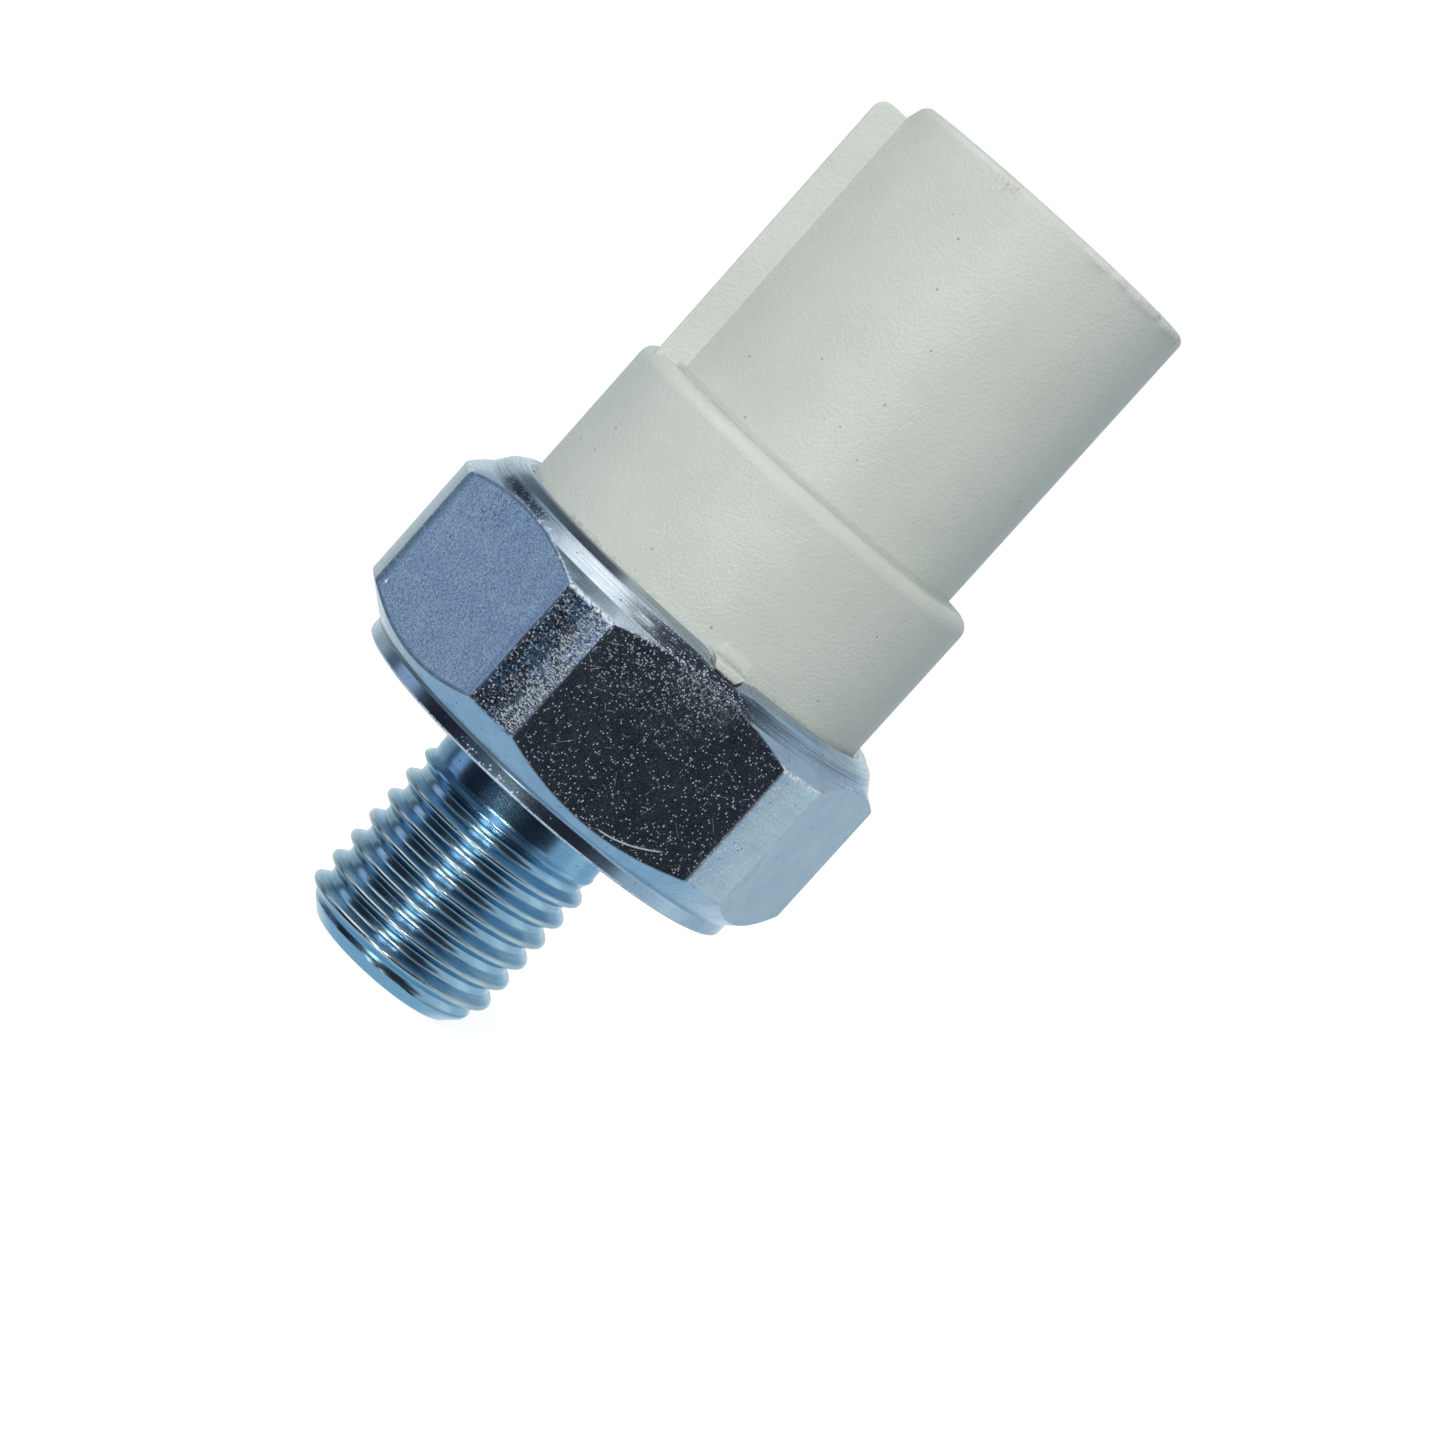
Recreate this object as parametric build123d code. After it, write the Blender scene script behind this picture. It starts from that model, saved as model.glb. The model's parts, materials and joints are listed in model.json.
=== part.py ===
from build123d import *
from math import cos, radians, sin, tan
import os

# Oil pressure sender, millimetres. The origin is on the axis in the plane of the washer face that
# seats on the engine. +Z points to the plug hood, the stem goes down, the plug's latch is on -X.

# Threaded stem, M10 x 1.25, with the oil port through it
THREAD_D = 9.84
STEM_LENGTH = 11.2
STEM_CHAMFER = 1.1
NECK_DEPTH = 0.32
NECK_LENGTH = 2.02
PORT_D = 3.5
PORT_MOUTH = 0.4

# Hexagon. The other widths of the body step outwards or inwards from its flats.
HEX_ACROSS_FLATS = 22.0
HEX_CORNER_STEP = 1.05
HEX_CORNER_LENGTH = 6.35
HEX_BOTTOM_RISE = 1.45
HEX_TURN = 13.3
WASHER_FACE_STEP = 0.65
WASHER_FACE_HEIGHT = 0.7

# Crimp wall and the lip rolled over the plastic flange
CRIMP_FOOT_STEP = 0.2
CRIMP_FOOT_RISE = 0.63
CRIMP_WALL = 1.03
CRIMP_LEAN_STEP = 0.55
CRIMP_LEAN_RISE = 0.75
CRIMP_SEAT_DROP = 1.13
CRIMP_SEAT_ANGLE = 47.0
LIP_CREST_STEP = 0.65
LIP_CREST_RISE = 0.4
LIP_CREST_BREAK = 0.15
LIP_FACE_DROP = 0.3
NOTCH_AZIMUTH = 15.3
NOTCH_WIDTH = 1.15
NOTCH_FLARE = 0.35
NOTCH_DEPTH = 0.55

# Fits
PART_GAP = 0.02
SLIDE_GAP = 0.05

# Stack on the cup's floor. The piston lifts by TRAVEL to the base's recess.
FLOOR_RISE = 0.05
SEAL_THICKNESS = 0.8
SEAL_WIDTH = 4.15
DIAPHRAGM_THICKNESS = 0.2
DIAPHRAGM_EDGE_GAP = 0.15
SUPPORT_THICKNESS = 1.0
PISTON_D = 6.2
PISTON_THICKNESS = 0.8
PISTON_EDGE = 0.15
TRAVEL = 0.4
BASE_THICKNESS = 1.5
BASE_RECESS_MARGIN = 0.3
PIN_D = 2.5
PIN_SPIGOT_D = 1.5
PIN_SPIGOT_LENGTH = 1.1
HOUSING_SEAL_THICKNESS = 0.6
HOUSING_SEAL_WIDTH = 2.4

# Terminals, contacts and the bridge between them, outwards from the pin
STRIP_THICKNESS = 0.64
STRIP_WIDTH = 2.3
STRIP_BEND = 0.7
FOOT_MARGIN = 0.95
CONTACT_MARGIN = 1.1
LEG_MARGIN = 2.0
BLADE_PITCH = 5.0
JOG_RISE = 0.8
JOG_LENGTH = 2.0
BLADE_TIP_CHAMFER = 0.22
BLADE_BELOW_RIM = 6.4
BUTTON_D = 1.7
BUTTON_HEIGHT = 0.3
SHANK_D = 0.8
BRIDGE_THICKNESS = 0.3
BRIDGE_WIDTH = 2.4
BRIDGE_END = 0.85

# Return spring and its seat
SPRING_D = 3.0
WIRE_D = 0.4
SPRING_TURNS = 3.5
WIRE_SIDES = 4
SEAT_THICKNESS = 0.3
SEAT_BOSS_LENGTH = 0.8
SEAT_BOSS_GAP = 0.15

# Moulded housing: skirt and flange in the cup, barrel, shoulder and hood
FLANGE_STEP = 0.67
SKIRT_ROOM = 1.7
CONTACT_ROOM = 2.9
SPRING_POCKET_GAP = 0.3
SPRING_POCKET_DEPTH = 2.9
BARREL_LENGTH = 7.57
SHOULDER_STEP = 1.45
SHOULDER_CHAMFER = 0.45
HOOD_LENGTH = 15.6
HOOD_WALL = 1.45
HOOD_FLOOR_RISE = 0.65
RIM_CHAMFER = 0.25
RIM_INNER_BREAK = 0.3
PLINTH_MARGIN = 1.05
PLINTH_END = 1.7
PLINTH_HEIGHT = 0.6
PLINTH_CORNER = 0.8

# Latch side of the hood: a flat with two guide rails and the catch for the plug's latch
FLAT_DEPTH = 0.65
FLAT_LEAD_IN = 1.0
RAIL_HEIGHT = 1.45
RAIL_SPAN = 6.12
RAIL_WIDTH = 1.2
RAIL_BELOW_RIM = 1.05
RAIL_CORNER = 0.6
CATCH_WIDTH = 2.0
CATCH_HEIGHT = 1.1
CATCH_BELOW_RIM = 6.55
CATCH_LAND = 0.9
CATCH_RAMP = 2.4

# Widths that follow, from the hexagon inwards
THREAD_R = THREAD_D / 2
NECK_R = THREAD_R - NECK_DEPTH
PORT_R = PORT_D / 2
FLATS_R = HEX_ACROSS_FLATS / 2
HEX_CORNER_R = FLATS_R + HEX_CORNER_STEP
WASHER_FACE_R = FLATS_R - WASHER_FACE_STEP
CRIMP_FOOT_R = FLATS_R + CRIMP_FOOT_STEP
CRIMP_LEAN_R = CRIMP_FOOT_R - CRIMP_LEAN_STEP
LIP_CREST_R = CRIMP_LEAN_R - LIP_CREST_STEP
CUP_R = CRIMP_FOOT_R - CRIMP_WALL
BARREL_R = CUP_R - FLANGE_STEP
LIP_R = BARREL_R + PART_GAP
FLANGE_R = CUP_R - PART_GAP
HOOD_R = BARREL_R - SHOULDER_STEP
HOOD_BORE_R = HOOD_R - HOOD_WALL
FLAT_X = FLAT_DEPTH - HOOD_R

# Widths that follow, from the pin outwards
FOOT_INNER_Y = PIN_D / 2 + FOOT_MARGIN
CONTACT_Y = FOOT_INNER_Y + CONTACT_MARGIN
LEG_Y = CONTACT_Y + LEG_MARGIN
SKIRT_BORE_R = LEG_Y + SKIRT_ROOM
POCKET_R = SPRING_D / 2 + SPRING_POCKET_GAP

# Heights that follow, up the body
HEX_BOTTOM_Z = WASHER_FACE_HEIGHT + HEX_BOTTOM_RISE
HEX_TOP_Z = HEX_BOTTOM_Z + HEX_CORNER_LENGTH
CRIMP_FOOT_Z = HEX_TOP_Z + CRIMP_FOOT_RISE
CRIMP_LEAN_Z = CRIMP_FOOT_Z + CRIMP_LEAN_RISE
CRIMP_SEAT_Z = CRIMP_LEAN_Z - CRIMP_SEAT_DROP
LIP_CREST_Z = CRIMP_LEAN_Z + LIP_CREST_RISE
SHOULDER_Z = LIP_CREST_Z + BARREL_LENGTH
HOOD_FLOOR_Z = SHOULDER_Z + HOOD_FLOOR_RISE
RIM_Z = SHOULDER_Z + HOOD_LENGTH
RAIL_TOP_Z = RIM_Z - RAIL_BELOW_RIM
CATCH_Z = RIM_Z - CATCH_BELOW_RIM
BLADE_TOP_Z = RIM_Z - BLADE_BELOW_RIM

# Heights that follow, up the stack in the cup
FLOOR_Z = HEX_BOTTOM_Z + FLOOR_RISE
DIAPHRAGM_Z = FLOOR_Z + SEAL_THICKNESS
SUPPORT_Z = DIAPHRAGM_Z + DIAPHRAGM_THICKNESS
PISTON_Z = SUPPORT_Z + PART_GAP
PISTON_TOP_Z = PISTON_Z + PISTON_THICKNESS
PISTON_STOP_Z = PISTON_TOP_Z + TRAVEL + PART_GAP
BASE_Z = SUPPORT_Z + SUPPORT_THICKNESS
FOOT_Z = BASE_Z + BASE_THICKNESS
SKIRT_Z = FOOT_Z + HOUSING_SEAL_THICKNESS
FIXED_Z = FOOT_Z + STRIP_THICKNESS
MOVING_Z = FIXED_Z + BUTTON_HEIGHT + PART_GAP
BRIDGE_Z = MOVING_Z + BUTTON_HEIGHT
SPRING_Z = BRIDGE_Z + BRIDGE_THICKNESS
CEILING_Z = FOOT_Z + CONTACT_ROOM
POCKET_TOP_Z = CEILING_Z + SPRING_POCKET_DEPTH
SEAT_Z = POCKET_TOP_Z - SEAT_THICKNESS
JOG_START_Z = POCKET_TOP_Z + JOG_RISE
JOG_END_Z = JOG_START_Z + JOG_LENGTH


def section(points):
    """A closed face in the XZ plane from radius and height pairs."""
    corners = [(r, 0, z) for r, z in points]
    return make_face(Polyline(*corners, close=True))


def eased(face, corners):
    """Break the corners of a section, each given by its radius, height and chamfer."""
    for r, z, size in corners:
        corner = face.vertices().sort_by_distance((r, 0, z))[0]
        face = chamfer(corner, size)
    return face


def turned(points, corners=()):
    """A solid of revolution about the sender's axis."""
    return revolve(eased(section(points), corners), Axis.Z)


def drum(radius, z_low, z_high):
    """A plain cylinder between two heights."""
    return Pos(0, 0, z_low) * extrude(Circle(radius), z_high - z_low)


def ring(outer, bore, z_low, z_high):
    """A plain ring between two heights."""
    return drum(outer, z_low, z_high) - drum(bore, z_low, z_high)


def notch_prism(shrink, r_from, r_to):
    """The flared slot through the lip, or with a shrink the key that fills it."""
    half = NOTCH_WIDTH / 2 - shrink
    low = LIP_CREST_Z - NOTCH_DEPTH + shrink
    high = LIP_CREST_Z + (0 if shrink else 1.0)
    flare = half + NOTCH_FLARE * (high - low) / NOTCH_DEPTH
    outline = Polyline((-half, low), (half, low), (flare, high), (-flare, high), close=True)
    prism = extrude(Plane.XZ.offset(r_from) * make_face(outline), r_to - r_from)
    return Rot(0, 0, NOTCH_AZIMUTH) * prism


def hex_body():
    """The turned steel body: stem, washer face, hexagon, crimp wall and rolled lip."""
    seat_rise = (CUP_R - LIP_R) * tan(radians(CRIMP_SEAT_ANGLE))
    points = [
        (PORT_R + PORT_MOUTH, -STEM_LENGTH),
        (THREAD_R - STEM_CHAMFER, -STEM_LENGTH),
        (THREAD_R, -STEM_LENGTH + STEM_CHAMFER),
        (THREAD_R, -NECK_LENGTH - NECK_DEPTH),
        (NECK_R, -NECK_LENGTH),
        (NECK_R, 0),
        (WASHER_FACE_R, 0),
        (WASHER_FACE_R, WASHER_FACE_HEIGHT),
        (HEX_CORNER_R, HEX_BOTTOM_Z),
        (HEX_CORNER_R, HEX_TOP_Z),
        (CRIMP_FOOT_R, CRIMP_FOOT_Z),
        (CRIMP_LEAN_R, CRIMP_LEAN_Z),
        (LIP_CREST_R, LIP_CREST_Z),
        (LIP_R, LIP_CREST_Z - LIP_FACE_DROP),
        (LIP_R, CRIMP_SEAT_Z + seat_rise),
        (CUP_R, CRIMP_SEAT_Z),
        (CUP_R, FLOOR_Z),
        (PORT_R, FLOOR_Z),
        (PORT_R, -STEM_LENGTH + PORT_MOUTH),
    ]
    blank = turned(points, [(LIP_CREST_R, LIP_CREST_Z, LIP_CREST_BREAK)])
    flats = RegularPolygon(FLATS_R, 6, major_radius=False)
    prism = extrude(Rot(0, 0, HEX_TURN) * flats, LIP_CREST_Z + STEM_LENGTH)
    body = blank & (Pos(0, 0, -STEM_LENGTH) * prism)
    return body - notch_prism(0, LIP_R - 1, HEX_CORNER_R)


def seal_ring():
    """The flat rubber ring under the diaphragm. Its bore is the pressure chamber."""
    outer = CUP_R - PART_GAP
    return ring(outer, outer - SEAL_WIDTH, FLOOR_Z, DIAPHRAGM_Z)


def diaphragm():
    """The film disc that closes the pressure chamber."""
    return drum(CUP_R - DIAPHRAGM_EDGE_GAP, DIAPHRAGM_Z, SUPPORT_Z)


def support_plate():
    """The washer that backs the diaphragm round the piston."""
    return ring(CUP_R - PART_GAP, PISTON_D / 2 + SLIDE_GAP, SUPPORT_Z, BASE_Z)


def pressure_piston():
    """The steel pad that rests on the diaphragm."""
    half = PISTON_D / 2
    points = [(0, PISTON_Z), (half, PISTON_Z), (half, PISTON_TOP_Z), (0, PISTON_TOP_Z)]
    return turned(points, [(half, PISTON_Z, PISTON_EDGE), (half, PISTON_TOP_Z, PISTON_EDGE)])


def push_pin():
    """The insulating pin between the piston and the bridge, with a spigot that centres the spring."""
    pin = drum(PIN_D / 2, PISTON_TOP_Z, BRIDGE_Z)
    return pin + drum(PIN_SPIGOT_D / 2, BRIDGE_Z, BRIDGE_Z + PIN_SPIGOT_LENGTH)


def contact_base():
    """The insulating disc that guides the pin and carries the terminal feet."""
    base = ring(CUP_R - PART_GAP, PIN_D / 2 + SLIDE_GAP, BASE_Z, FOOT_Z)
    return base - drum(PISTON_D / 2 + BASE_RECESS_MARGIN, BASE_Z, PISTON_STOP_Z)


def fixed_contact(side):
    """The silver rivet on a terminal's foot."""
    button = drum(BUTTON_D / 2, FIXED_Z, FIXED_Z + BUTTON_HEIGHT)
    return Pos(0, side * CONTACT_Y, 0) * (button + drum(SHANK_D / 2, FOOT_Z, FIXED_Z))


def moving_contact(side):
    """The silver button welded under an end of the bridge."""
    return Pos(0, side * CONTACT_Y, 0) * drum(BUTTON_D / 2, MOVING_Z, BRIDGE_Z)


def bridge_contact():
    """The bar that joins the two fixed contacts while the piston is down."""
    length = 2 * (CONTACT_Y + BRIDGE_END)
    outline = RectangleRounded(BRIDGE_WIDTH, length, BRIDGE_WIDTH / 2 - PART_GAP)
    outline -= Circle(PIN_SPIGOT_D / 2 + PART_GAP)
    return Pos(0, 0, BRIDGE_Z) * extrude(outline, BRIDGE_THICKNESS)


def contact_spring():
    """The open coil spring between the bridge and its seat, its round wire drawn with four sides."""
    low = SPRING_Z + WIRE_D / 2 + PART_GAP
    high = SEAT_Z - WIRE_D / 2 - PART_GAP
    radius = (SPRING_D - WIRE_D) / 2
    coil = Helix((high - low) / SPRING_TURNS, high - low, radius)
    wire = Plane(coil @ 0, z_dir=coil % 0) * RegularPolygon(WIRE_D / 2, WIRE_SIDES)
    return Pos(0, 0, low) * sweep(wire, path=coil)


def spring_seat():
    """The steel cup at the top of the spring's pocket, with a boss inside the coil."""
    seat = drum(POCKET_R - PART_GAP, SEAT_Z, POCKET_TOP_Z)
    boss_r = SPRING_D / 2 - WIRE_D - SEAT_BOSS_GAP
    return seat + drum(boss_r, SEAT_Z - SEAT_BOSS_LENGTH, SEAT_Z)


def strip(side, grow):
    """A terminal's strip along its bends: foot, leg, jog and blade. grow widens its section."""
    middle = FOOT_Z + STRIP_THICKNESS / 2
    leg = side * LEG_Y
    blade = side * BLADE_PITCH / 2
    route = [
        (0, side * FOOT_INNER_Y, middle),
        (0, leg, middle),
        (0, leg, JOG_START_Z),
        (0, blade, JOG_END_Z),
        (0, blade, BLADE_TOP_Z),
    ]
    path = FilletPolyline(*route, radius=STRIP_BEND)
    start = Plane(path @ 0, x_dir=(1, 0, 0), z_dir=path % 0)
    outline = start * Rectangle(STRIP_WIDTH + 2 * grow, STRIP_THICKNESS + 2 * grow)
    return sweep(outline, path=path)


def terminal(side):
    """One terminal, with a rivet hole in its foot and a chamfered blade tip."""
    body = strip(side, 0)
    body = chamfer(body.faces().sort_by(Axis.Z)[-1].edges(), BLADE_TIP_CHAMFER)
    hole = drum(SHANK_D / 2 + PART_GAP, FOOT_Z, FIXED_Z)
    return body - Pos(0, side * CONTACT_Y, 0) * hole


def housing_blank():
    """The turned form of the moulding: skirt, crimped flange, barrel, shoulder, hood and its bore."""
    seat_low = CRIMP_SEAT_Z - PART_GAP
    seat_high = seat_low + (FLANGE_R - BARREL_R) * tan(radians(CRIMP_SEAT_ANGLE))
    points = [
        (0, POCKET_TOP_Z),
        (POCKET_R, POCKET_TOP_Z),
        (POCKET_R, CEILING_Z),
        (SKIRT_BORE_R, CEILING_Z),
        (SKIRT_BORE_R, SKIRT_Z),
        (FLANGE_R, SKIRT_Z),
        (FLANGE_R, seat_low),
        (BARREL_R, seat_high),
        (BARREL_R, SHOULDER_Z),
        (HOOD_R, SHOULDER_Z),
        (HOOD_R, RIM_Z),
        (HOOD_BORE_R + RIM_INNER_BREAK, RIM_Z),
        (HOOD_BORE_R, RIM_Z - RIM_INNER_BREAK),
        (HOOD_BORE_R, HOOD_FLOOR_Z),
        (0, HOOD_FLOOR_Z),
    ]
    return turned(points, [(BARREL_R, SHOULDER_Z, SHOULDER_CHAMFER), (HOOD_R, RIM_Z, RIM_CHAMFER)])


def latch_flat():
    """What is cut off the hood's latch side, with a rounded lead-in at the rim."""
    reach = HOOD_R
    high = RIM_Z - SHOULDER_Z
    block = Pos(FLAT_X - reach / 2, 0, SHOULDER_Z + high / 2) * Box(reach, reach, high)
    corner = Pos(FLAT_X + FLAT_LEAD_IN / 2, 0, RIM_Z - FLAT_LEAD_IN / 2)
    square = corner * Box(FLAT_LEAD_IN, RAIL_SPAN, FLAT_LEAD_IN)
    bar = Cylinder(FLAT_LEAD_IN, RAIL_SPAN, rotation=(90, 0, 0))
    lead_in = square - Pos(FLAT_X + FLAT_LEAD_IN, 0, RIM_Z - FLAT_LEAD_IN) * bar
    return block + lead_in


def guide_rail(side):
    """One of the two rails beside the latch, with its outer top corner rounded."""
    root_x = FLAT_X + FLAT_LEAD_IN / 4
    outer_x = FLAT_X - RAIL_HEIGHT
    foot_z = SHOULDER_Z - SHOULDER_CHAMFER
    outline = section([(root_x, foot_z), (outer_x, foot_z), (outer_x, RAIL_TOP_Z), (root_x, RAIL_TOP_Z)])
    corner = outline.vertices().sort_by_distance((outer_x, 0, RAIL_TOP_Z))[0]
    rail = extrude(fillet(corner, RAIL_CORNER), RAIL_WIDTH / 2, both=True)
    return Pos(0, side * (RAIL_SPAN - RAIL_WIDTH) / 2, 0) * rail


def latch_catch():
    """The catch that the plug's latch snaps under: square below, a ramp above."""
    root_x = FLAT_X + FLAT_LEAD_IN / 4
    outer_x = FLAT_X - CATCH_HEIGHT
    land_z = CATCH_Z + CATCH_LAND
    top_z = land_z + CATCH_RAMP
    points = [(root_x, CATCH_Z), (outer_x, CATCH_Z), (outer_x, land_z), (FLAT_X, top_z), (root_x, top_z)]
    return extrude(section(points), CATCH_WIDTH / 2, both=True)


def connector_housing():
    """The moulding with its latch side, lip key, plinth and the slots filled by the terminals."""
    body = housing_blank() - latch_flat()
    for side in (-1, 1):
        body += guide_rail(side)
    body += latch_catch()
    body += notch_prism(PART_GAP, BARREL_R - 1, (CRIMP_LEAN_R + LIP_CREST_R) / 2)
    pad = RectangleRounded(STRIP_WIDTH + 2 * PLINTH_MARGIN, BLADE_PITCH + 2 * PLINTH_END, PLINTH_CORNER)
    body += Pos(0, 0, HOOD_FLOOR_Z) * extrude(pad, PLINTH_HEIGHT)
    for side in (-1, 1):
        body -= strip(side, PART_GAP)
    return body


def housing_seal():
    """The flat rubber ring that the crimp squeezes between the housing's skirt and the contact base."""
    return ring(FLANGE_R, FLANGE_R - HOUSING_SEAL_WIDTH, FOOT_Z, SKIRT_Z)


PARTS = {
    "hex_body": hex_body(),
    "seal_ring": seal_ring(),
    "diaphragm": diaphragm(),
    "support_plate": support_plate(),
    "pressure_piston": pressure_piston(),
    "push_pin": push_pin(),
    "contact_base": contact_base(),
    "fixed_contact_left": fixed_contact(-1),
    "fixed_contact_right": fixed_contact(1),
    "bridge_contact": bridge_contact(),
    "moving_contact_left": moving_contact(-1),
    "moving_contact_right": moving_contact(1),
    "contact_spring": contact_spring(),
    "spring_seat": spring_seat(),
    "terminal_left": terminal(-1),
    "terminal_right": terminal(1),
    "connector_housing": connector_housing(),
    "housing_seal": housing_seal(),
}

os.makedirs("parts", exist_ok=True)
for name, solid in PARTS.items():
    export_step(solid, f"parts/{name}.step")
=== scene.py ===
import bmesh
import bpy
import json
from math import atan2, cos, degrees, pi, radians, sin, sqrt, tan
from mathutils import Matrix, Vector, noise
from types import SimpleNamespace


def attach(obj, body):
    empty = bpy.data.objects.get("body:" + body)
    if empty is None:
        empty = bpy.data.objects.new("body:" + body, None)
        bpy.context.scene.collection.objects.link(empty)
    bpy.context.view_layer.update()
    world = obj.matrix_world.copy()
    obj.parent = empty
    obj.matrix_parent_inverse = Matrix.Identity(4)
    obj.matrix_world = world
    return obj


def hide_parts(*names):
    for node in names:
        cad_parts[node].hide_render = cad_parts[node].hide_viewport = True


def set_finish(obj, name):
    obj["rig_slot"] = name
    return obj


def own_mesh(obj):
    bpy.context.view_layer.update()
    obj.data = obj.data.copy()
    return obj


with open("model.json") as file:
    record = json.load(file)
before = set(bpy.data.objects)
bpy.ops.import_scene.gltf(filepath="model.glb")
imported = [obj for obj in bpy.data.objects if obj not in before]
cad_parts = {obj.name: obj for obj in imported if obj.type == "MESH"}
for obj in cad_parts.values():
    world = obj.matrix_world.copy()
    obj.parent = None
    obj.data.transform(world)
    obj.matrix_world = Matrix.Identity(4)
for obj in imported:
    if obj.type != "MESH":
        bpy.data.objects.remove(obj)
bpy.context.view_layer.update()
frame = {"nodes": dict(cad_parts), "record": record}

# Oil pressure sender. Every length below is in millimetres and turns into metres with MM.
MM = 0.001

# Sizes taken over from the solids
PITCH, THREAD_CREST_Z = 1.25, -3.52
NECK_R, PORT_R, PORT_MOUTH = 4.6, 1.75, 0.4
STEM_Z, STEM_END_R = -11.2, 3.82
NECK_END_Z, THREAD_TOP_Z, THREAD_END_Z = -0.3, -0.35, STEM_Z + 0.04
FLATS_R, HEX_CORNER_R, HEX_TURN = 11.0, 12.05, 13.3
WASHER_R, WASHER_Z = 10.35, 0.7
HEX_LOW_Z, HEX_HIGH_Z = 2.15, 8.5
CRIMP_R, CRIMP_Z = 11.2, 9.13
LOW_BEVEL = (HEX_CORNER_R - WASHER_R) / (HEX_LOW_Z - WASHER_Z)
HIGH_BEVEL = (HEX_CORNER_R - CRIMP_R) / (CRIMP_Z - HEX_HIGH_Z)
LEAN_R, LEAN_Z = 10.65, 9.88
LEAN = (CRIMP_R - LEAN_R) / (LEAN_Z - CRIMP_Z)
CREST_R, CREST_Z = 10.0, 10.28
LIP_R, CUP_R, SEAT_Z, FLOOR_Z = 9.52, 10.17, 8.75, 2.2
SEAT_SLOPE = tan(radians(47))
NOTCH_TURN, NOTCH_HALF, NOTCH_DEPTH, NOTCH_FLARE = 15.3, 0.575, 0.55, 0.35
KEY_R, KEY_TOP_Z, KEY_RAISE = 10.36, CREST_Z - 0.08, 0.06
SKIRT_R, SKIRT_Z, RECESS_R, RECESS_TOP_Z, POCKET_R, POCKET_TOP_Z = 10.15, 6.3, 7.0, 8.6, 1.8, 11.5
BARREL_R, SHOULDER_Z = 9.5, 17.85
HOOD_R, HOOD_BORE_R, HOOD_FLOOR_Z, RIM_Z = 8.05, 6.6, 18.5, 33.45
FLAT_X, RAIL_X, RAIL_TOP_Z, RAIL_SPAN, RAIL_WIDTH = -7.4, -8.85, 32.4, 6.12, 1.2
CATCH_X, CATCH_Z, CATCH_HEIGHT = -8.5, 26.9, 3.3
SPRING_LOW_Z, SPRING_HIGH_Z, SPRING_R, WIRE_R = 7.26, 11.2, 1.3, 0.2

# Sides of the turned body and housing, steps of the spring's wire, and the area that only a flat exceeds
STEPS, HOUSING_STEPS, WIRE_STEPS = 180, 240, 126
BROAD = 20 * MM * MM
# The lip's droop beside the notch: how far down, from which height, and out to which distance
LIP_DROOP, DROOP_LOW_Z, DROOP_REACH = 0.20, 9.75, 1.7
# The turns in degrees between which the rim's flash shows, where the thread runs out, a cut's tolerance
FLASH_START, FLASH_END = 15, 82
RUNOUT_Z, TOLERANCE = -2.95, 0.0001

# The turns, in radians, of what the photo shows of the hexagon: flat C towards the camera, flat A left of
# it and the turned strip B between them
FLAT_C = radians(HEX_TURN)
FLAT_A, STRIP_B = FLAT_C - pi / 3, FLAT_C - pi / 6


# Bench work

def held(share):
    """A number kept between 0 and 1."""
    return min(max(share, 0), 1)


def clear_bench():
    """Nothing selected and no piece in edit mode, so that the next operator only meets its own piece."""
    if bpy.context.object and bpy.context.object.mode != "OBJECT":
        bpy.ops.object.mode_set(mode="OBJECT")
    bpy.ops.object.select_all(action="DESELECT")


def named(name):
    """The piece that an add operator just made, under its own name."""
    piece = bpy.context.object
    piece.name = name
    piece.data.name = name
    return piece


def take(piece):
    """Only this piece selected and active."""
    clear_bench()
    piece.select_set(True)
    bpy.context.view_layer.objects.active = piece


def edit(piece):
    """Into edit mode on the piece, with nothing of it selected."""
    take(piece)
    bpy.ops.object.mode_set(mode="EDIT")
    bpy.ops.mesh.select_all(action="DESELECT")


def leave():
    """Out of edit mode."""
    bpy.ops.object.mode_set(mode="OBJECT")


def pick(piece, kind, test):
    """Select the vertices, edges or faces of the piece in edit mode that pass the test."""
    bpy.ops.mesh.select_mode(type={"verts": "VERT", "edges": "EDGE", "faces": "FACE"}[kind])
    bpy.ops.mesh.select_all(action="DESELECT")
    mesh = bmesh.from_edit_mesh(piece.data)
    for item in getattr(mesh, kind):
        if test(item):
            item.select_set(True)
    mesh.select_flush_mode()
    bmesh.update_edit_mesh(piece.data)


def middle(item):
    """The middle of an edge or a face in millimetres."""
    points = [v.co for v in item.verts]
    return sum(points, Vector()) / len(points) / MM


def fixed(piece):
    """Place, turn and size go into the mesh."""
    take(piece)
    bpy.ops.object.transform_apply(location=True, rotation=True, scale=True)
    return piece


def sound(piece, reach=0.002):
    """Doubles merged and every face turned outwards."""
    edit(piece)
    bpy.ops.mesh.select_all(action="SELECT")
    bpy.ops.mesh.remove_doubles(threshold=reach * MM)
    bpy.ops.mesh.normals_make_consistent(inside=False)
    leave()
    return piece


def finished(piece, kind, **settings):
    """Add one modifier to the piece and apply it."""
    take(piece)
    step = piece.modifiers.new(kind.lower(), kind)
    for key, value in settings.items():
        setattr(step, key, value)
    bpy.ops.object.modifier_apply(modifier=step.name)
    return piece


def joined(piece, tool, operation):
    """Cut the tool out of the piece or add it, and put the tool away."""
    finished(piece, "BOOLEAN", operation=operation, object=tool, solver="EXACT")
    bpy.data.objects.remove(tool)
    return piece


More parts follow.
